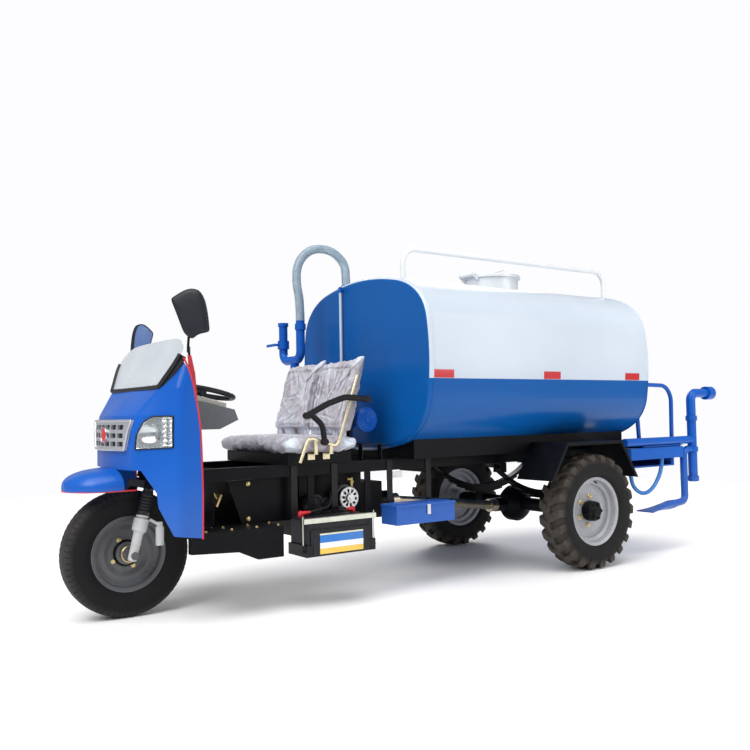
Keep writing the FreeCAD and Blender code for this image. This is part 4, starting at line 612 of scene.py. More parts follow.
# silver lacquer on ABS: fine metal flakes and a soft shine
silver_abs, tree, shader, place = finish("silver_lacquered_abs", Metallic=0.65, Roughness=0.36)
flakes = add(tree, "TexNoise", {"Vector": place, "Scale": 1 / 0.003, "Detail": 2.0})
mottled(tree, shader, place, 0.08, 4.0, "#A9ADB3", "#C9CCD0")
bump = add(tree, "Bump", {"Height": flakes.outputs["Fac"], "Strength": 0.15, "Distance": 0.0005})
join(tree, bump.outputs["Normal"], shader, "Normal")
coat(silver_abs, "grille")


def skin_of(name):
    """Finds how far forward a CAD piece reaches at a point of its front view."""
    tree = BVHTree.FromPolygons([v.co for v in cad[name].data.vertices],
                                [p.vertices for p in cad[name].data.polygons])

    def face(x, z):
        hit = tree.ray_cast(Vector((x, -3, z)), Vector((0, 1, 0)))[0]
        return hit.y if hit else None
    return face


def rounded(points, passes=3):
    """Cuts the corners of a closed outline until it is smooth."""
    for _ in range(passes):
        points = [Vector(a) * u + Vector(b) * (1 - u) for a, b in zip(points, points[1:] + points[:1])
                  for u in (0.75, 0.25)]
    return points


def eased(corners, reach, step=0.016):
    """Closed outline that is round within a reach of each corner, with points along its straight runs."""
    line = []
    for a, b, c in zip(corners[-1:] + corners[:-1], corners, corners[1:] + corners[:1]):
        a, b, c = Vector(a), Vector(b), Vector(c)
        line += [b + (a - b).normalized() * reach, b, b + (c - b).normalized() * reach]
    line = rounded(line, 2)
    full = []
    for a, b in zip(line, line[1:] + line[:1]):
        parts = max(1, round((b - a).length / step))
        full += [a + (b - a) * k / parts for k in range(parts)]
    return full


def spread(outline, face, depth, rings):
    """Radial net over an outline of (x, z), laid on a face and set back by depth(x, z, way out)."""
    middle = sum(outline, Vector((0, 0))) / len(outline)
    verts, faces, n = [], [], len(outline)
    for j in range(rings + 1):
        share = j / rings
        for k, q in enumerate(outline):
            spot = middle + (q - middle) * share * 0.9985
            near = face(spot.x, spot.y)
            verts.append([spot.x, verts[(j - 1) * n + k][3] if near is None else near, spot.y, 0.0])
            verts[-1][3] = verts[-1][1]
    for j, v in enumerate(verts):
        v[1] += depth(v[0], v[2], (j // n) / rings)
        v.pop()
    for j in range(rings):
        faces += ring_faces(j * n, (j + 1) * n, n)
    return verts, faces


shroud_face, grille_face, lamp_face = skin_of("cab_shroud"), skin_of("grille"), skin_of("headlights")
net = [Vector(q) / 1000 for q in ((-222, 866), (222, 866), (281, 1008), (-281, 1008))]
verts, faces = spread(eased(net, 0.01), shroud_face, lambda x, z, share: -0.0012, 10)
mesh_piece("grille_net", verts, faces, black_plastic, "chassis")
border = eased([Vector(q) / 1000 for q in ((-224, 864), (224, 864), (283, 1010), (-283, 1010))], 0.012)
middle_z, beak_y = 0.937, -2.1
trim = [(q.x, (grille_face(q.x * 0.985, middle_z + (q.y - middle_z) * 0.97) or beak_y) + 0.001, q.y)
        for q in border]
spline("grille_frame", trim, 0.0068, silver_abs, "chassis", "POLY", True)
badge = (0, grille_face(0.0, middle_z), middle_z)
profile = [(0.0, 0.0440), (0.005, 0.0440), (0.0075, 0.0428), (0.0075, 0.0410), (0.006, 0.0400),
           (0.001, 0.0395)]
turned("grille_boss_ring", profile, badge, chrome, "chassis", axis=(0, -1, 0), steps=64)
profile = [(0.0005, 0.0398), (0.006, 0.0396), (0.008, 0.034), (0.0105, 0.020), (0.0115, 0.0)]
turned("grille_boss", profile, badge, red_gloss, "chassis", axis=(0, -1, 0), steps=64)

# Headlights: clear polycarbonate lenses over vacuum-chromed reflectors, each with
# a round bowl beside a block of square cells, set in a black gasket.
# clear polycarbonate with faint upright ribs 24 mm apart
lens, tree, shader, place = finish("clear_polycarbonate_lens", Roughness=0.04, IOR=1.25,
                                   Transmission_Weight=1.0, Base_Color=linear("#F4F8FA"))
ribs = add(tree, "TexWave", {"Vector": place, "Scale": 1 / 0.024, "Distortion": 0.0}, bands_direction="X")
bump = add(tree, "Bump", {"Height": ribs.outputs["Fac"], "Strength": 0.06, "Distance": 0.001})
join(tree, bump.outputs["Normal"], shader, "Normal")
# vacuum chrome in facets 10 mm across, so that it sparkles
mirror_chrome, tree, shader, place = finish("vacuum_chromed_reflector", Metallic=0.85, Roughness=0.2,
                                            Base_Color=linear("#D9DADA"))
facets = add(tree, "TexVoronoi", {"Vector": place, "Scale": 1 / 0.010}, feature="F1")
bump = add(tree, "Bump", {"Height": facets.outputs["Distance"], "Strength": 0.3, "Distance": 0.002})
join(tree, bump.outputs["Normal"], shader, "Normal")
for side, s in (("left", 1), ("right", -1)):
    corner = [(304.5, 868.5), (457.5, 876.5), (457.5, 1029.5), (402, 1029.5), (372, 1028), (350, 1017),
              (334, 1001.5), (320, 972), (311, 936)]
    ring = eased([Vector((x * s, z)) / 1000 for x, z in (corner if s > 0 else corner[::-1])], 0.012, 0.006)
    cx, cz, r, deep = 0.360 * s, 0.946, 0.046, 0.022

    def dished(x, z, share):
        """Bowl, a block of square cells beside it, flutes at the inner end, and a flat border."""
        if share > 0.94:
            return 0.0035
        q, across, cell = math.hypot(x - cx, z - cz) / r, abs(x) - 0.409, 0.0235
        if q < 1:
            return 0.008 + deep * (1 - q * q)
        if across > 0:
            u, v = across / cell % 1, (z - 0.884) / cell % 1
            return 0.006 + 0.016 * min(u, 1 - u, v, 1 - v)
        return 0.008 + 0.0015 * math.sin(2 * math.pi * x / 0.009)

    verts, faces = spread(ring, lamp_face, dished, 46)
    reflector = mesh_piece("lamp_reflector_" + side, verts, faces, mirror_chrome, "chassis", 50)
    mesh_piece("lamp_housing_" + side, [[x, y + 0.004, z] for x, y, z in verts], [f[::-1] for f in faces],
               black_plastic, "chassis", 50)
    verts, faces = spread(ring, lamp_face, lambda x, z, share: -0.0005, 12)
    count = len(verts)
    verts += [[x, y + 0.0025, z] for x, y, z in verts]
    faces += [tuple(v + count for v in f[::-1]) for f in faces]
    n = len(ring)
    faces += ring_faces(count - n, 2 * count - n, n)
    mesh_piece("lamp_lens_" + side, verts, faces, lens, "chassis", 50)
    if s > 0:
        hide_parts("headlights")
    spline("lamp_gasket_" + side, [Vector(v) + Vector((0, 0.001, 0)) for v in verts[count - n:count]],
           0.0032, rubber, "chassis", "POLY", True)
    profile = [(0.0, 0.0), (0.002, 0.006), (0.010, 0.008), (0.016, 0.006), (0.018, 0.0)]
    turned("lamp_bulb_%s_%d" % (side, round(cz * 1000)), profile,
           (cx, lamp_face(cx, cz) + 0.008 + deep, cz), chrome, "chassis", axis=(0, -1, 0),
           steps=24)

# Tank: rolled sheet steel welded to two flanged heads and sprayed in two
# colours, white above and blue below and on the heads.
tank_low, tank_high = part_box("tank")
# enamel in two colours: smooth, a little wavy, with fine orange peel
two_tone, tree, shader, place = finish("two_tone_tank_enamel", Roughness=0.26, IOR=1.5,
                                       Specular_IOR_Level=0.2, Coat_Weight=0.1, Coat_Roughness=0.1)
axes = add(tree, "SeparateXYZ", {"Vector": place})
cloud = add(tree, "TexNoise", {"Vector": place, "Scale": 1 / 0.5, "Detail": 4.0})
blue = add(tree, "Mix", {0: cloud.outputs["Fac"], 6: linear("#064F95"), 7: linear("#0A58A2")},
           data_type="RGBA")
white = add(tree, "Mix", {0: cloud.outputs["Fac"], 6: linear("#B9C3CF"), 7: linear("#CAD4DF")},
            data_type="RGBA")
upper = add(tree, "Math", {0: axes.outputs["Z"], 1: 1.219}, operation="GREATER_THAN")
behind = add(tree, "Math", {0: axes.outputs["Y"], 1: tank_low[1] + 0.004}, operation="GREATER_THAN")
ahead = add(tree, "Math", {0: axes.outputs["Y"], 1: tank_high[1] - 0.004}, operation="LESS_THAN")
side = add(tree, "Math", {0: behind.outputs[0], 1: ahead.outputs[0]}, operation="MULTIPLY")
mask = add(tree, "Math", {0: side.outputs[0], 1: upper.outputs[0]}, operation="MULTIPLY")
tone = add(tree, "Mix", {0: mask.outputs[0], 6: blue.outputs[2], 7: white.outputs[2]}, data_type="RGBA")
join(tree, tone.outputs[2], shader, "Base Color")
waves = add(tree, "Bump", {"Height": cloud.outputs["Fac"], "Strength": 0.35, "Distance": 0.012})
peel = add(tree, "TexNoise", {"Vector": place, "Scale": 1 / 0.008, "Detail": 2.0})
bump = add(tree, "Bump", {"Height": peel.outputs["Fac"], "Strength": 0.08, "Distance": 0.0007,
                          "Normal": waves.outputs["Normal"]})
join(tree, bump.outputs["Normal"], shader, "Normal")
coat(two_tone, "tank")
# the flanged rims stand a little proud and catch a pale line
tank_half, tank_middle, tank_rise, side_r = 0.703, 1.335, 0.535, 1.5
for name, y in (("front", tank_low[1] + 0.0245), ("rear", tank_high[1] - 0.0245)):
    loop = set()
    for v in cad["tank"].data.vertices:
        out = math.hypot(v.co.x / tank_half, (v.co.z - tank_middle) / tank_rise)
        if abs(v.co.y - y) < 0.003 and out > 0.9:
            loop.add((round(v.co.x, 4), round(v.co.z, 4)))
    loop = sorted(loop, key=lambda q: math.atan2(q[1] - tank_middle, q[0]))
    if len(loop) > 20:
        spline("tank_rim_" + name, [(x, y, z) for x, z in loop], 0.0045, two_tone, "chassis",
               "POLY", True)
# retro-reflective red film on small riveted plates
reflex, tree, shader, place = finish("red_reflex_plate", Roughness=0.25, IOR=1.5, Coat_Weight=0.6,
                                     Coat_Roughness=0.08)
cells = add(tree, "TexVoronoi", {"Vector": place, "Scale": 1 / 0.005})
tone = add(tree, "Mix", {0: cells.outputs["Distance"], 6: linear("#D01A22"), 7: linear("#A50D16")},
           data_type="RGBA")
join(tree, tone.outputs[2], shader, "Base Color")
for side, s in (("left", 1), ("right", -1)):
    for k, d in enumerate((1597, 2483, 3268)):
        low, high = at(0, d - 74, 1222), at(0, d + 74, 1268)
        levels = [low.z + (high.z - low.z) * i / 6 for i in range(7)]
        arc = [(tank_half - side_r + math.sqrt(side_r ** 2 - (z - tank_middle) ** 2), z) for z in levels]
        verts = [(s * (x + lift), y, z) for lift in (0.0004, 0.0024) for y in (low.y, high.y) for x, z in arc]
        faces = []
        for i in range(6):
            faces += [(i, i + 1, i + 8, i + 7), (14 + i, 21 + i, 22 + i, 15 + i),
                      (i, 14 + i, 15 + i, i + 1), (7 + i, 8 + i, 22 + i, 21 + i)]
        faces += [(0, 7, 21, 14), (6, 20, 27, 13)]
        mesh_piece("reflector_%s_%d" % (side, k), verts, faces, reflex, "chassis", 40)
# white gloss for what stands on the tank's top
white_gloss, tree, shader, place = finish("white_gloss_enamel", Roughness=0.26, IOR=1.5, Coat_Weight=0.3,
                                          Coat_Roughness=0.15)
cloud = mottled(tree, shader, place, 0.12, 5.0, "#D3D7DA", "#ECEEEF")
bump = add(tree, "Bump", {"Height": cloud.outputs["Fac"], "Strength": 0.1, "Distance": 0.002})
join(tree, bump.outputs["Normal"], shader, "Normal")
coat(white_gloss, "manhole_neck", "manhole_lid", "handrail")

# Dash cowl, steering wheel and instrument panel: moulded ABS and polypropylene
# with a leather grain pressed into the surface, drawn 4 mm wide so that it shows.
grey_plastic, tree, shader, place = finish("grained_grey_abs", Roughness=0.55, IOR=1.5)
grain = add(tree, "TexVoronoi", {"Vector": place, "Scale": 1 / 0.004})
mottled(tree, shader, place, 0.08, 4.0, "#4A4E52", "#63676B")
bump = add(tree, "Bump", {"Height": grain.outputs["Distance"], "Strength": 0.25, "Distance": 0.0006})
join(tree, bump.outputs["Normal"], shader, "Normal")
coat(grey_plastic, "dash_cowl")
coat(black_plastic, "steering_wheel")


def plate(name, outline, near, far, paint, body, stand=None, edge=0.0012):
    """Flat piece with an eased edge: an outline of (y, z) drawn out along x, or stood by a matrix."""
    middle = sum(outline, Vector((0, 0))) / len(outline)
    n, verts = len(outline), []
    for x, size in ((near, 1.0), (far - edge, 1.0), (far, 1 - edge / 0.06)):
        verts += [Vector((x, *(middle + (q - middle) * size))) for q in outline]
    faces = ring_faces(0, n, n) + ring_faces(n, 2 * n, n)
    faces += [tuple(range(2 * n, 3 * n)), tuple(range(n - 1, -1, -1))]
    return mesh_piece(name, [stand @ v for v in verts] if stand else verts, faces, paint, body)


# pale grey ABS of the instrument panel on the cowl, warm and matt, with two dark dials
beige_abs, tree, shader, place = finish("pale_grey_abs", Roughness=0.5, IOR=1.5)
cloud = mottled(tree, shader, place, 0.05, 5.0, "#A9A79D", "#CFCCC0")
bump = add(tree, "Bump", {"Height": cloud.outputs["Fac"], "Strength": 0.1, "Distance": 0.001})
join(tree, bump.outputs["Normal"], shader, "Normal")
slope = Matrix.Translation(at(0, 364, 1104)) @ Matrix.Rotation(math.radians(-13.7), 4, "X")
slope = slope @ Matrix.Rotation(math.radians(-90), 4, "Y")
panel = eased([Vector(q) for q in ((-0.070, -0.150), (0.150, -0.150), (0.150, 0.150), (-0.070, 0.150))], 0.03)
plate("dash_panel", panel, -0.002, 0.029, beige_abs, "chassis", slope, 0.004)
for k, x in enumerate((-0.085, 0.085)):
    spot = slope @ Vector((0.029, 0.070, x))
    toward = (slope.to_3x3() @ Vector((1, 0, 0))).normalized()
    profile = [(-0.001, 0.042), (0.005, 0.042), (0.007, 0.040), (0.007, 0.037), (0.002, 0.035)]
    turned("dash_dial_ring_%d" % k, profile, spot, black_plastic, "chassis", axis=toward,
           steps=48)
    profile = [(0.0015, 0.036), (0.002, 0.012), (0.004, 0.006), (0.0045, 0.0)]
    turned("dash_dial_%d" % k, profile, spot, black_plastic, "chassis", axis=toward,
           steps=48)

# Mirrors: domed polypropylene shells on bent steel arms, with a silvered glass
# let into the side that faces the driver.
# silvered glass under dust, blurred, with pale blue painted into its colour as a painted reflection
silvered, tree, shader, place = finish("silvered_mirror_glass_painted_reflection", Metallic=0.55, Roughness=0.22)
cloud = add(tree, "TexNoise", {"Vector": place, "Scale": 1 / 0.04, "Detail": 5.0, "Distortion": 1.0})
# the two pale blues are a painted reflection
tone = add(tree, "Mix", {0: cloud.outputs["Fac"], 6: linear("#98B6E6"), 7: linear("#C6DAFA")},
           data_type="RGBA")
join(tree, tone.outputs[2], shader, "Base Color")
for side, s, middle, turn in (("left", 1, at(560, 132, 1523), 50), ("right", -1, at(-560, 290, 1466), -60)):
    shape = [(-91, 60), (-92, 75), (-80, 84), (-45, 105), (-12, 119), (18, 121), (50, 108), (72, 64),
             (84, 1), (91, -70), (90, -87), (80, -93), (34, -101), (14, -119), (0, -121), (-14, -112),
             (-32, -93), (-51, -43), (-70, 8)]
    edge = rounded([Vector(q) / 1000 for q in shape], 2)
    n, spin = len(edge), Matrix.Rotation(math.radians(turn), 3, "Z")
    verts = []
    for size, y in ((1.0, 0.015), (1.0, 0.004), (0.985, -0.006), (0.93, -0.0125), (0.80, -0.0155),
                    (0.5, -0.0168), (0.2, -0.017)):
        verts += [middle + spin @ Vector((q.x * size, y, q.y * size)) for q in edge]
    verts += [middle + spin @ Vector((q.x * 0.965, 0.015, q.y * 0.965)) for q in edge]
    verts += [middle + spin @ Vector((q.x * 0.96, 0.011, q.y * 0.96)) for q in edge]
    faces = [face for j in range(6) for face in ring_faces(j * n, (j + 1) * n, n)]
    faces += ring_faces(7 * n, 0, n) + ring_faces(8 * n, 7 * n, n)
    faces += [tuple(range(6 * n, 7 * n)), tuple(range(9 * n - 1, 8 * n - 1, -1))]
    shell = mesh_piece("mirror_shell_" + side, verts, faces, black_plastic, "chassis", 40)
    pane = [middle + spin @ Vector((q.x * 0.95, 0.0125, q.y * 0.95)) for q in edge]
    mesh_piece("mirror_glass_" + side, pane, [tuple(range(n))], silvered, "chassis", 40)
    foot = at(442 * s, 175, 1330)
    knee = Vector((middle.x * 0.97, middle.y, middle.z - 0.15))
    bent = [foot, foot + Vector((0, 0, 0.03)), foot.lerp(knee, 0.35) + Vector((0, 0, 0.02)),
            knee - Vector((0.012 * s, 0, 0.03)), knee + Vector((0, 0, 0.05))]
    spline("mirror_arm_" + side, bent, 0.0062, frame_black, "chassis", "BEZIER")
    if s > 0:
        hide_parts("mirrors")

# Propeller shaft: seamless steel tube between the gearbox and the rear axle, left
# bare, so that it looks brown grey under its film of oil.
bare_steel, tree, shader, place = finish("oiled_bare_steel", Metallic=1.0, Roughness=0.35)
mottled(tree, shader, place, 0.05, 6.0, "#8E8069", "#CFC7B4")
coat(bare_steel, "propeller_shaft")

# Battery: a moulded polypropylene case in a welded tray, held down by a plated
# angle on two hooked rods, with red vinyl boots over its lead posts.
# matt black case, moulded with upright ribs 22 mm apart near its ends
case_black, tree, shader, place = finish("moulded_battery_case", Roughness=0.5, IOR=1.5,
                                         Specular_IOR_Level=0.3)
length = add(tree, "SeparateXYZ", {"Vector": place}).outputs["Y"]
mottled(tree, shader, place, 0.05, 5.0, "#121316", "#202127")
ribs = add(tree, "Math", {0: length, 1: 2 * math.pi / 0.022}, operation="MULTIPLY").outputs[0]
ribs = add(tree, "Math", {0: ribs}, operation="SINE")
plain = zone(tree, place, (None, -1.19, None), (None, -0.88, 0.455))
ends = add(tree, "Math", {0: plain, 1: -1.0, 2: 1.0}, operation="MULTIPLY_ADD")
ribs = add(tree, "Math", {0: ribs.outputs[0], 1: ends.outputs[0]}, operation="MULTIPLY")
bump = add(tree, "Bump", {"Height": ribs.outputs[0], "Strength": 0.5, "Distance": 0.003})
join(tree, bump.outputs["Normal"], shader, "Normal")
# tray: black enamel; its angle and rods above are zinc plate, pale with a green cast
tray_mix, tree, shader, place = finish("black_tray_and_plated_angle", Specular_IOR_Level=0.25)
plated = zone(tree, place, (0.39, None, 0.3475), (None, None, None))
cloud = add(tree, "TexNoise", {"Vector": place, "Scale": 1 / 0.03, "Detail": 5.0})
bright = add(tree, "Mix", {0: cloud.outputs["Fac"], 6: linear("#B4B8A8"), 7: linear("#E6E8DC")},
             data_type="RGBA")
dark = add(tree, "Mix", {0: cloud.outputs["Fac"], 6: linear("#0B0C10"), 7: linear("#1B1B1F")},
           data_type="RGBA")
tone = add(tree, "Mix", {0: plated, 6: dark.outputs[2], 7: bright.outputs[2]}, data_type="RGBA")
join(tree, tone.outputs[2], shader, "Base Color")
level = add(tree, "MapRange", {"Value": plated, "To Max": 0.75})
join(tree, level.outputs["Result"], shader, "Metallic")
level = add(tree, "MapRange", {"Value": cloud.outputs["Fac"], "To Min": 0.3, "To Max": 0.55})
join(tree, level.outputs["Result"], shader, "Roughness")
bump = add(tree, "Bump", {"Height": cloud.outputs["Fac"], "Strength": 0.15, "Distance": 0.001})
join(tree, bump.outputs["Normal"], shader, "Normal")
coat(case_black, "battery")
coat(tray_mix, "battery_tray")
# printed paper label under clear film, in plain bands with nothing written on it
label_paper, tree, shader, place = finish("banded_label_film", Roughness=0.35, IOR=1.5, Coat_Weight=0.2,
                                          Coat_Roughness=0.1)
cloud = add(tree, "TexNoise", {"Vector": place, "Scale": 1 / 0.02, "Detail": 6.0})
tone = add(tree, "Mix", {0: cloud.outputs["Fac"], 6: linear("#DDE2EA"), 7: linear("#F1F3F6")},
           data_type="RGBA")
for low, high, one, two in ((0.355, 0.395, "#1F69B8", "#2E7BCB"), (0.0, 0.326, "#E2B23A", "#F2CC62"),
                            (0.395, 1.0, "#CDC9A6", "#E2DFC4")):
    band = add(tree, "Mix", {0: cloud.outputs["Fac"], 6: linear(one), 7: linear(two)}, data_type="RGBA")
    tone = add(tree, "Mix", {0: zone(tree, place, (None, None, low), (None, None, high)),
                             6: tone.outputs[2], 7: band.outputs[2]}, data_type="RGBA")
join(tree, tone.outputs[2], shader, "Base Color")
bump = add(tree, "Bump", {"Height": cloud.outputs["Fac"], "Strength": 0.1, "Distance": 0.0006})
join(tree, bump.outputs["Normal"], shader, "Normal")
for name, y0, y1, z0, z1, near, far, paint, slot in (
        ("battery_backing", 775, 1155, 348, 424, 0.5784, 0.5868, case_black, "black_plastic"),
        ("battery_panel", 788, 1142, 290, 418, 0.5864, 0.5880, case_black, "black_plastic"),
        ("battery_label", 828, 1100, 297, 403, 0.5878, 0.5886, label_paper, "white")):
    corners = ((y0, z0), (y1, z0), (y1, z1), (y0, z1))
    edge = eased([Vector((y / 1000 - 2, z / 1000)) for y, z in corners], 0.004)
    plate(name, edge, near, far, paint, "chassis", None, 0.0003)
# moulded red vinyl over the posts: bright and a little soft; the leads are black
vinyl, tree, shader, place = finish("moulded_red_vinyl", Roughness=0.4, IOR=1.5, Subsurface_Weight=0.1)
mottled(tree, shader, place, 0.01, 4.0, "#A3121C", "#D9303A")
for k, (d, way) in enumerate(((800, 1), (1130, -1))):
    post = at(440, d, 0)
    profile = [(0.4815, 0.0150), (0.486, 0.0165), (0.500, 0.0160), (0.508, 0.0125), (0.512, 0.006),
               (0.5125, 0.0)]
    turned("battery_boot_%d" % k, profile, post, vinyl, "chassis", axis=(0, 0, 1), steps=32)
    profile = [(0.0, 0.0125), (0.018, 0.0120), (0.036, 0.0085), (0.052, 0.0068), (0.053, 0.0)]
    turned("battery_boot_tail_%d" % k, profile, post + Vector((0.004, 0, 0.497)), vinyl, "chassis",
           axis=(0.25, way, 0.12), steps=32)
for name, points in (("starter_lead", ((452, 846, 503), (452, 880, 508), (430, 950, 512), (395, 1010, 520),
                                       (352, 1050, 560), (318, 1064, 590))),
                     ("earth_lead", ((452, 1084, 503), (450, 1060, 510), (430, 1050, 512), (400, 1072, 508),
                                     (356, 1090, 500), (320, 1096, 486)))):
    spline(name, [at(*q) for q in points], 0.0062, rubber, "chassis")

# Generator and air cleaner on the engine's left side: a die-cast end shield with
# vent slots, two clamped bands behind it, a brass union, and a pressed round lid.
# turned brass of the union: warm and slightly tarnished
brass, tree, shader, place = finish("turned_brass", Metallic=1.0, Roughness=0.32)
mottled(tree, shader, place, 0.008, 4.0, "#8F7A45", "#D8C58A")
# die-cast aluminium: light grey and grainy
die_cast, tree, shader, place = finish("die_cast_aluminium", Metallic=0.7, Roughness=0.42)
grain = add(tree, "TexNoise", {"Vector": place, "Scale": 1 / 0.003, "Detail": 3.0})
mottled(tree, shader, place, 0.03, 4.0, "#B9BABC", "#E4E4E3")
bump = add(tree, "Bump", {"Height": grain.outputs["Fac"], "Strength": 0.25, "Distance": 0.0006})
join(tree, bump.outputs["Normal"], shader, "Normal")
nose = at(0, 1172, 548)
steps, verts, faces = 120, [], []
for r in (0.0235, 0.030, 0.049, 0.058, 0.0635):
    x = 0.3475 + (0.003 if r < 0.06 else -0.002)
    verts += [nose + Vector((x, r * math.sin(a), r * math.cos(a)))
              for a in (2 * math.pi * k / steps for k in range(steps))]
for j in range(4):
    ring = enumerate(ring_faces(j * steps, (j + 1) * steps, steps))
    faces += [(a, d, c, b) for k, (a, b, c, d) in ring if j != 1 or k % 12 < 5]
shield = mesh_piece("generator_shield", verts, faces, die_cast, "chassis", 40)
wall = shield.modifiers.new("wall", "SOLIDIFY")
wall.thickness, wall.offset = 0.003, 0.0
profile = [(0.3600, 0.0225), (0.3640, 0.0240), (0.3690, 0.0235), (0.3692, 0.014), (0.3740, 0.012),
           (0.3760, 0.0)]
turned("generator_nose", profile, nose, die_cast, "chassis", steps=48)
for k, x in enumerate((0.272, 0.312)):
    profile = [(x - 0.008, 0.0662), (x - 0.007, 0.0715), (x, 0.0735), (x + 0.007, 0.0715),
               (x + 0.008, 0.0662)]
    turned("generator_band_%d" % k, profile, nose, dark_wheel, "chassis", steps=72)
profile = [(-0.030, 0.0085), (-0.012, 0.0085), (-0.010, 0.013), (0.004, 0.013), (0.006, 0.009),
           (0.020, 0.009), (0.022, 0.0)]
turned("brass_union", profile, at(330, 1200, 640), brass, "chassis", axis=(0, 0, 1), steps=24)
profile = [(-0.004, 0.006), (0.024, 0.006), (0.026, 0.010), (0.038, 0.010), (0.040, 0.0)]
turned("brass_union_arm", profile, at(330, 1200, 650), brass, "chassis", axis=(0.2, -1, 0.15),
       steps=24)
profile = [(0.2510, 0.050), (0.3240, 0.050), (0.3290, 0.055), (0.3350, 0.056), (0.3390, 0.052),
           (0.3390, 0.040), (0.3330, 0.036), (0.3330, 0.010), (0.3370, 0.007), (0.3370, 0.0)]
turned("air_cleaner_lid", profile, at(0, 957, 528), case_black, "chassis", steps=64)

# Trim: the toolbox's hasp and staple, a blank aluminium plate on the left rail, a pale
# painted highlight along the rolled edges of the mudguards, and the pump's ribbed pulley face.
hasp = eased([Vector(q) for q in ((-0.397, 0.434), (-0.373, 0.434), (-0.373, 0.492), (-0.397, 0.492))],
             0.005, 0.01)
plate("toolbox_hasp", hasp, 0.5183, 0.5206, die_cast, "toolbox_lid")
staple = eased([Vector(q) for q in ((-0.391, 0.440), (-0.379, 0.440), (-0.379, 0.452), (-0.391, 0.452))],
               0.004, 0.01)
plate("toolbox_staple", staple, 0.5122, 0.5180, die_cast, "chassis")
rail_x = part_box("chassis_rails")[1][0]
tag = eased([Vector(q) for q in ((-0.552, 0.644), (-0.450, 0.644), (-0.450, 0.682), (-0.552, 0.682))],
            0.004, 0.02)
plate("rail_plate", tag, rail_x + 0.0003, rail_x + 0.0013, die_cast, "chassis", None, 0.0004)
# a thin pale tube along each mudguard's rolled edge: a painted highlight where the fold catches the light
guard_x, guard_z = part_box("rear_mudguards")[1][0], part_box("rear_mudguards")[1][2]
for side, s in (("left", 1), ("right", -1)):
    fold = [(0.374, -0.229), (0.521, -0.0005), (1.047, -0.0005), (1.199, -0.246)]
    spline("mudguard_painted_edge_highlight_" + side, [(s * (guard_x - 0.0026), y, guard_z + z - 0.002) for y, z in fold],
           0.0021, die_cast, "chassis", "POLY")
profile = [(0.3103, 0.062), (0.3140, 0.058), (0.3112, 0.050), (0.3150, 0.044), (0.3112, 0.036),
           (0.3150, 0.030), (0.3120, 0.022), (0.3180, 0.018), (0.3190, 0.0)]
turned("pump_pulley_face", profile, at(0, 1335, 990), blue_gloss, "chassis", steps=64)

# Seat: foam blocks in grey woven cloth, still wrapped in the clear film that they
# were delivered in, which is drawn into ears at the corners and creases all over.
# woven cloth under clear film: a pale mauve grey with wet-looking folds and bright ears; the film's pale
# colour is partly painted highlight, and the dark fold colour is painted shade
cloth, tree, shader, place = finish("filmed_grey_seat_cloth", Roughness=0.75, Coat_Weight=0.5,
                                    Coat_Roughness=0.2, Sheen_Weight=0.1, Specular_IOR_Level=0.35)
weave = add(tree, "TexNoise", {"Vector": place, "Scale": 1 / 0.003, "Detail": 2.0})
cloud = add(tree, "TexNoise", {"Vector": place, "Scale": 1 / 0.045, "Detail": 6.0, "Roughness": 0.6,
                               "Distortion": 0.8})
tone = add(tree, "Mix", {0: cloud.outputs["Fac"], 6: linear("#A29CA3"), 7: linear("#BDB8C1")},
           data_type="RGBA")
bare = add(tree, "TexNoise", {"Vector": place, "Scale": 1 / 0.11, "Detail": 3.0, "Distortion": 0.6})
bare = add(tree, "MapRange", {"Value": bare.outputs["Fac"], "From Min": 0.58, "From Max": 0.70,
                              "To Max": 0.55})
tone = add(tree, "Mix", {0: bare.outputs["Result"], 6: tone.outputs[2], 7: linear("#6E5A60")},
           data_type="RGBA")
# pale film colour: the film itself, with painted highlight on ridges, raised folds and the bunched ears
film_and_painted_highlight = add(tree, "Attribute", attribute_name="film").outputs["Fac"]
tone = add(tree, "Mix", {0: film_and_painted_highlight, 6: tone.outputs[2], 7: linear("#D6DEEA")}, data_type="RGBA")
# dark colour: painted shade in seams, fold hollows and skirt pleats, also laid on the backs' side faces
painted_fold_shade = add(tree, "Attribute", attribute_name="fold").outputs["Fac"]
tone = add(tree, "Mix", {0: painted_fold_shade, 6: tone.outputs[2], 7: linear("#554A53")}, data_type="RGBA")
join(tree, tone.outputs[2], shader, "Base Color")
crinkle = add(tree, "TexNoise", {"Vector": place, "Scale": 1 / 0.03, "Detail": 5.0, "Roughness": 0.6,
                                 "Distortion": 1.5})
ridge = add(tree, "Math", {0: crinkle.outputs["Fac"], 1: 0.5}, operation="SUBTRACT").outputs[0]
ridge = add(tree, "Math", {0: ridge}, operation="ABSOLUTE")
film = add(tree, "Bump", {"Height": ridge.outputs[0], "Strength": 0.8, "Distance": 0.012})
join(tree, film.outputs["Normal"], shader, "Coat Normal")
base = add(tree, "Bump", {"Height": weave.outputs["Fac"], "Strength": 0.3, "Distance": 0.001,
                          "Normal": film.outputs["Normal"]})
join(tree, base.outputs["Normal"], shader, "Normal")
studio = bpy.context.scene


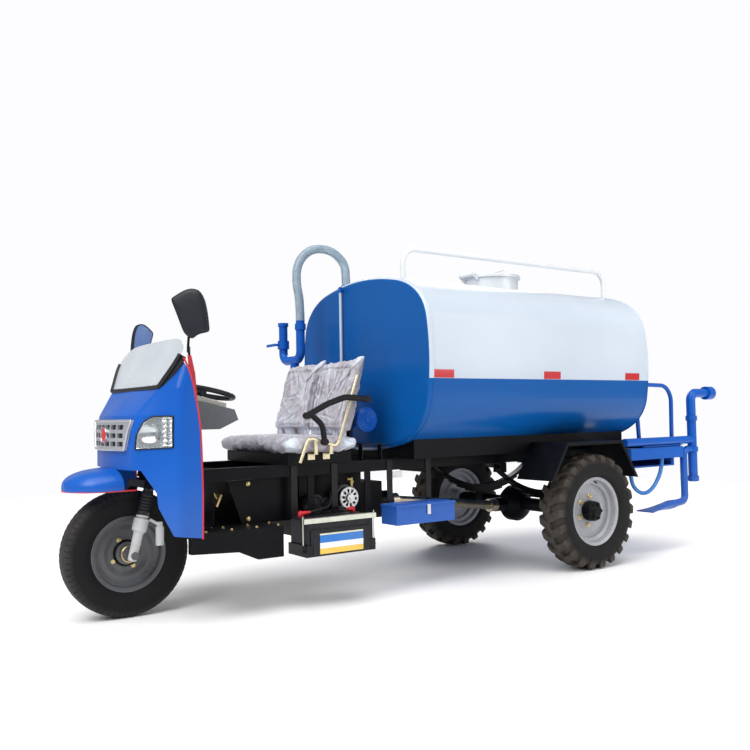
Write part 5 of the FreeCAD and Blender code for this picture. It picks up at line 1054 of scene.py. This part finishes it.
def swollen(name, w, t, h, voxel, reach):
    """Foam block with round edges, blown up by pressure and held within a reach of where it started."""
    form = bmesh.new()
    bmesh.ops.create_cube(form, size=1.0)
    size = (w - 0.006, t - 0.022, h - 0.006) if t < h else (w - 0.006, t - 0.006, h - 0.022)
    bmesh.ops.scale(form, vec=size, verts=form.verts)
    bmesh.ops.bevel(form, geom=form.edges[:], offset=0.026, segments=5, profile=0.5, affect="EDGES")
    mesh = bpy.data.meshes.new(name)
    form.to_mesh(mesh)
    form.free()
    block = bpy.data.objects.new(name, mesh)
    bpy.context.collection.objects.link(block)
    net = block.modifiers.new("net", "REMESH")
    net.mode, net.voxel_size = "VOXEL", voxel
    block.data = bpy.data.meshes.new_from_object(block.evaluated_get(bpy.context.evaluated_depsgraph_get()))
    block.modifiers.clear()
    rest = [v.co.copy() for v in block.data.vertices]
    soft = block.modifiers.new("pressure", "CLOTH")
    soft.settings.use_pressure, soft.settings.uniform_pressure_force = True, 4.0
    soft.settings.effector_weights.gravity = 0.0
    soft.point_cache.frame_start, soft.point_cache.frame_end = 1, 20
    for step in range(1, 21):
        studio.frame_set(step)
    blown = bpy.data.meshes.new_from_object(block.evaluated_get(bpy.context.evaluated_depsgraph_get()))
    away = [v.co - r for v, r in zip(blown.vertices, rest)]
    block.modifiers.clear()
    studio.frame_set(1)
    for v, r, step in zip(block.data.vertices, rest, away):
        v.co = r + step * min(1.0, reach / max(step.length, 1e-6))
    for axis, size in enumerate((w, t + 0.006, h + 0.002)):
        grow = size / 2 / max(abs(v.co[axis]) for v in block.data.vertices)
        for v in block.data.vertices:
            v.co[axis] *= grow
    block.data.update()
    return block


def bell(value, width):
    """One where the value is nought, falling to nothing within two widths."""
    return math.exp(-(value / width) ** 2)


def creased(block, w, t, h, showing, seams, folds, ears, round_corner, seed, stand, skirt=0.0):
    """Draws seams, folds, creases, film ears and a film skirt into a block, stores the painted highlight and
    painted shade of the cloth's colour, then stands it in place.
    """
    mesh, upright = block.data, abs(showing.y) > 0.5
    if round_corner:
        corner = Vector((-w / 2 + round_corner, h / 2 - round_corner))
        for v in mesh.vertices:
            if v.co.x < corner.x and v.co.z > corner.y:
                off = Vector((v.co.x, v.co.z)) - corner
                if off.length > round_corner:
                    off *= round_corner / off.length
                    v.co.x, v.co.z = corner.x + off.x, corner.y + off.y
        mesh.update()
    normals, film_and_highlight_share, dark = [v.normal.copy() for v in mesh.vertices], [], []
    shift = Vector((seed, seed * 0.7, seed * 1.3))
    for v, n in zip(mesh.vertices, normals):
        c, front = v.co.copy(), max(0.0, min(1.0, (n.dot(showing) - 0.1) / 0.5))
        inner, raised = seams(c), 0.0
        wander = Vector((noise.noise(c * 14 + shift), noise.noise(c * 14 - shift)))
        spot = Vector((c.x, c.z if upright else c.y)) + 0.010 * wander
        # painted shade: darker along the seam, beside each fold and in the hollows between ridges
        crease_shade = 0.45 * front * bell(inner, 0.006) * (0.6 + wander.x)
        d = -0.006 * front * bell(inner + 0.006 * wander.y, 0.007)
        for x0, z0, x1, z1, deep in folds:
            start, run = Vector((x0, z0)), Vector((x1 - x0, z1 - z0))
            along = max(0.0, min(1.0, (spot - start).dot(run) / run.length_squared))
            off = (spot - start - run * along).dot(Vector((-run.y, run.x)).normalized())
            reach = (spot - start - run * along).length
            beside = math.hypot(reach - abs(off), off - 0.012)
            swell = front * math.sin(math.pi * (0.12 + 0.76 * along))
            d += deep * swell * (bell(reach, 0.007) - 0.9 * bell(beside, 0.007))
            crease_shade += 0.55 * swell * bell(beside, 0.005)
            raised = max(raised, swell * bell(reach, 0.005))
        coarse = Vector((c.x * 13 + c.z * 6, c.y * 11, c.z * 8 - c.x * 5))
        coarse = 1 - 2.2 * abs(noise.noise(coarse + shift))
        fine = Vector((c.x * 30 - c.z * 16, c.y * 26, c.z * 20 + c.x * 12))
        fine = 1 - 2.4 * abs(noise.noise(fine + shift))
        d += 0.0080 * (max(0.0, coarse) ** 3 - 0.2) + 0.0038 * (max(0.0, fine) ** 3 - 0.2)
        # the pale film colour on a random tone, with painted highlight on raised folds, on ridge tops and on
        # the bunched ears
        shade = max(0.0, min(1.0, 0.7 * noise.noise(c * 9 + shift))) + 0.5 * raised
        shade += 0.3 * max(0.0, coarse) ** 5 + 0.15 * max(0.0, fine) ** 5
        crease_shade += 0.3 * max(0.0, 0.15 - coarse) + 0.35 * max(0.0, 0.05 - fine)
        c += n * d
        for x, z, toward, pull in ears:
            k = max(0.0, 1 - math.hypot(c.x - x, (c.z if upright else c.y) - z) / 0.070) ** 2
            c.x += toward[0] * pull * k
            if upright:
                c.z, c.y = c.z + toward[1] * pull * k, c.y * (1 - 0.85 * k)
            else:
                c.y, c.z = c.y + toward[1] * pull * k, c.z * (1 - 0.8 * k)
            shade += 1.6 * k
        low = max(0.0, min(1.0, (skirt - c.z - h / 2) / 0.012)) if skirt else 0.0
        c.y *= 1 - 0.62 * low
        pleat = 0.7 * noise.noise(Vector((c.x * 24, c.z * 10, seed)))
        pleat += 0.5 * noise.noise(Vector((c.x * 61 + c.z * 25, c.z * 20, seed)))
        c.y += 0.011 * low * pleat
        # the backs' side faces take the dark colour instead of the film colour; the skirt's pleats get
        # painted highlight on their crests and painted shade in their hollows
        side_face = max(0.0, abs(n.x) - 0.55) if upright else 0.0
        film_and_highlight_share.append(min(1.0, shade * (1 - side_face) + low * (0.55 + 0.8 * pleat)))
        dark.append(min(1.0, crease_shade * (1 - low) + 0.9 * side_face + low * max(0.0, 0.25 - 1.5 * pleat)))
        v.co = stand @ c
    mesh.attributes.new("film", "FLOAT", "POINT").data.foreach_set("value", film_and_highlight_share)
    mesh.attributes.new("fold", "FLOAT", "POINT").data.foreach_set("value", dark)
    mesh.materials.append(cloth)
    mesh.shade_smooth()
    block.modifiers.new("smoother", "SUBSURF").levels = 1
    block.modifiers["smoother"].render_levels = 1
    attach(block, "chassis")
    return block


def back_seams(c):
    """How far a point of a back lies inside its seam, which follows the outline."""
    return min(0.2 - abs(c.x), 0.2225 - c.z, c.z + 0.2225) - 0.052


def cushion_seams(c):
    """How far a point of the cushion lies inside its seam."""
    return min(0.42 - abs(c.x), c.y + 0.22, 0.22 - c.y) - 0.060


back_folds = (((-0.165, 0.16, -0.150, -0.17, 0.007), (-0.125, 0.14, -0.118, -0.12, 0.005),
               (0.115, 0.215, -0.020, -0.02, 0.006), (0.190, 0.205, 0.050, 0.03, 0.007),
               (0.150, 0.190, 0.085, -0.05, 0.005), (0.185, 0.080, 0.100, -0.16, 0.006),
               (0.000, 0.200, 0.015, 0.05, 0.004), (-0.060, 0.130, -0.020, -0.06, 0.004),
               (-0.090, -0.110, 0.080, -0.145, 0.004), (0.165, -0.040, 0.160, -0.19, 0.005)),
              ((-0.150, 0.095, 0.000, 0.125, 0.004), (-0.130, -0.010, 0.060, 0.015, 0.006),
               (-0.190, -0.110, -0.070, -0.010, 0.006), (-0.185, -0.165, 0.020, -0.055, 0.007),
               (-0.120, -0.190, 0.110, -0.090, 0.006), (0.165, 0.180, 0.160, -0.180, 0.006),
               (0.190, 0.200, 0.060, 0.060, 0.006), (0.110, 0.150, 0.100, -0.040, 0.004),
               (-0.030, 0.190, 0.010, 0.060, 0.004), (-0.165, 0.060, -0.140, -0.080, 0.004)))
backs, lean_back = [], Matrix.Rotation(math.radians(-15), 4, "X")
back_ears = ((0.195, 0.210, (0.5, 0.85), 0.048), (0.19, -0.21, (0.3, -0.3), 0.012))
for side, s, seed, folds in (("left", 1, 3.1, back_folds[0]), ("right", -1, 8.4, back_folds[1])):
    stand = Matrix.Translation((0.209 * s, at(0, 1085, 0).y, 0.9176)) @ lean_back
    stand = stand @ Matrix.Translation((0, 0.040, 0.2175))
    pad = swollen("seat_back_" + side, 0.386, 0.080, 0.445, 0.006, 0.014)
    backs.append(creased(pad, 0.400, 0.080, 0.445, Vector((0, -1, 0)), back_seams, folds, back_ears, 0.130,
                         seed, stand, 0.042))
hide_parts("seat_backs")
stand = Matrix.Translation((0, at(0, 958, 0).y, 0.8586))
cushion_folds = ((-0.38, -0.17, -0.30, 0.15, 0.005), (-0.22, -0.19, -0.17, 0.05, 0.004),
                 (-0.05, -0.18, -0.08, 0.16, 0.005), (0.08, -0.19, 0.02, 0.02, 0.004),
                 (0.20, -0.18, 0.14, 0.10, 0.005), (0.40, 0.18, 0.20, 0.02, 0.006),
                 (0.38, -0.19, 0.26, -0.05, 0.005), (-0.30, 0.10, 0.10, 0.14, 0.004))
cushion_ears = ((0.41, 0.17, (0.6, 0.5), 0.040), (0.41, -0.20, (0.5, -0.3), 0.014))
pad = swollen("seat_cushion_pad", 0.840, 0.440, 0.086, 0.007, 0.012)
cushion = creased(pad, 0.840, 0.440, 0.086, Vector((0, 0, 1)), cushion_seams, cushion_folds, cushion_ears,
                  0, 5.7, stand)
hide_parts("seat_cushion")
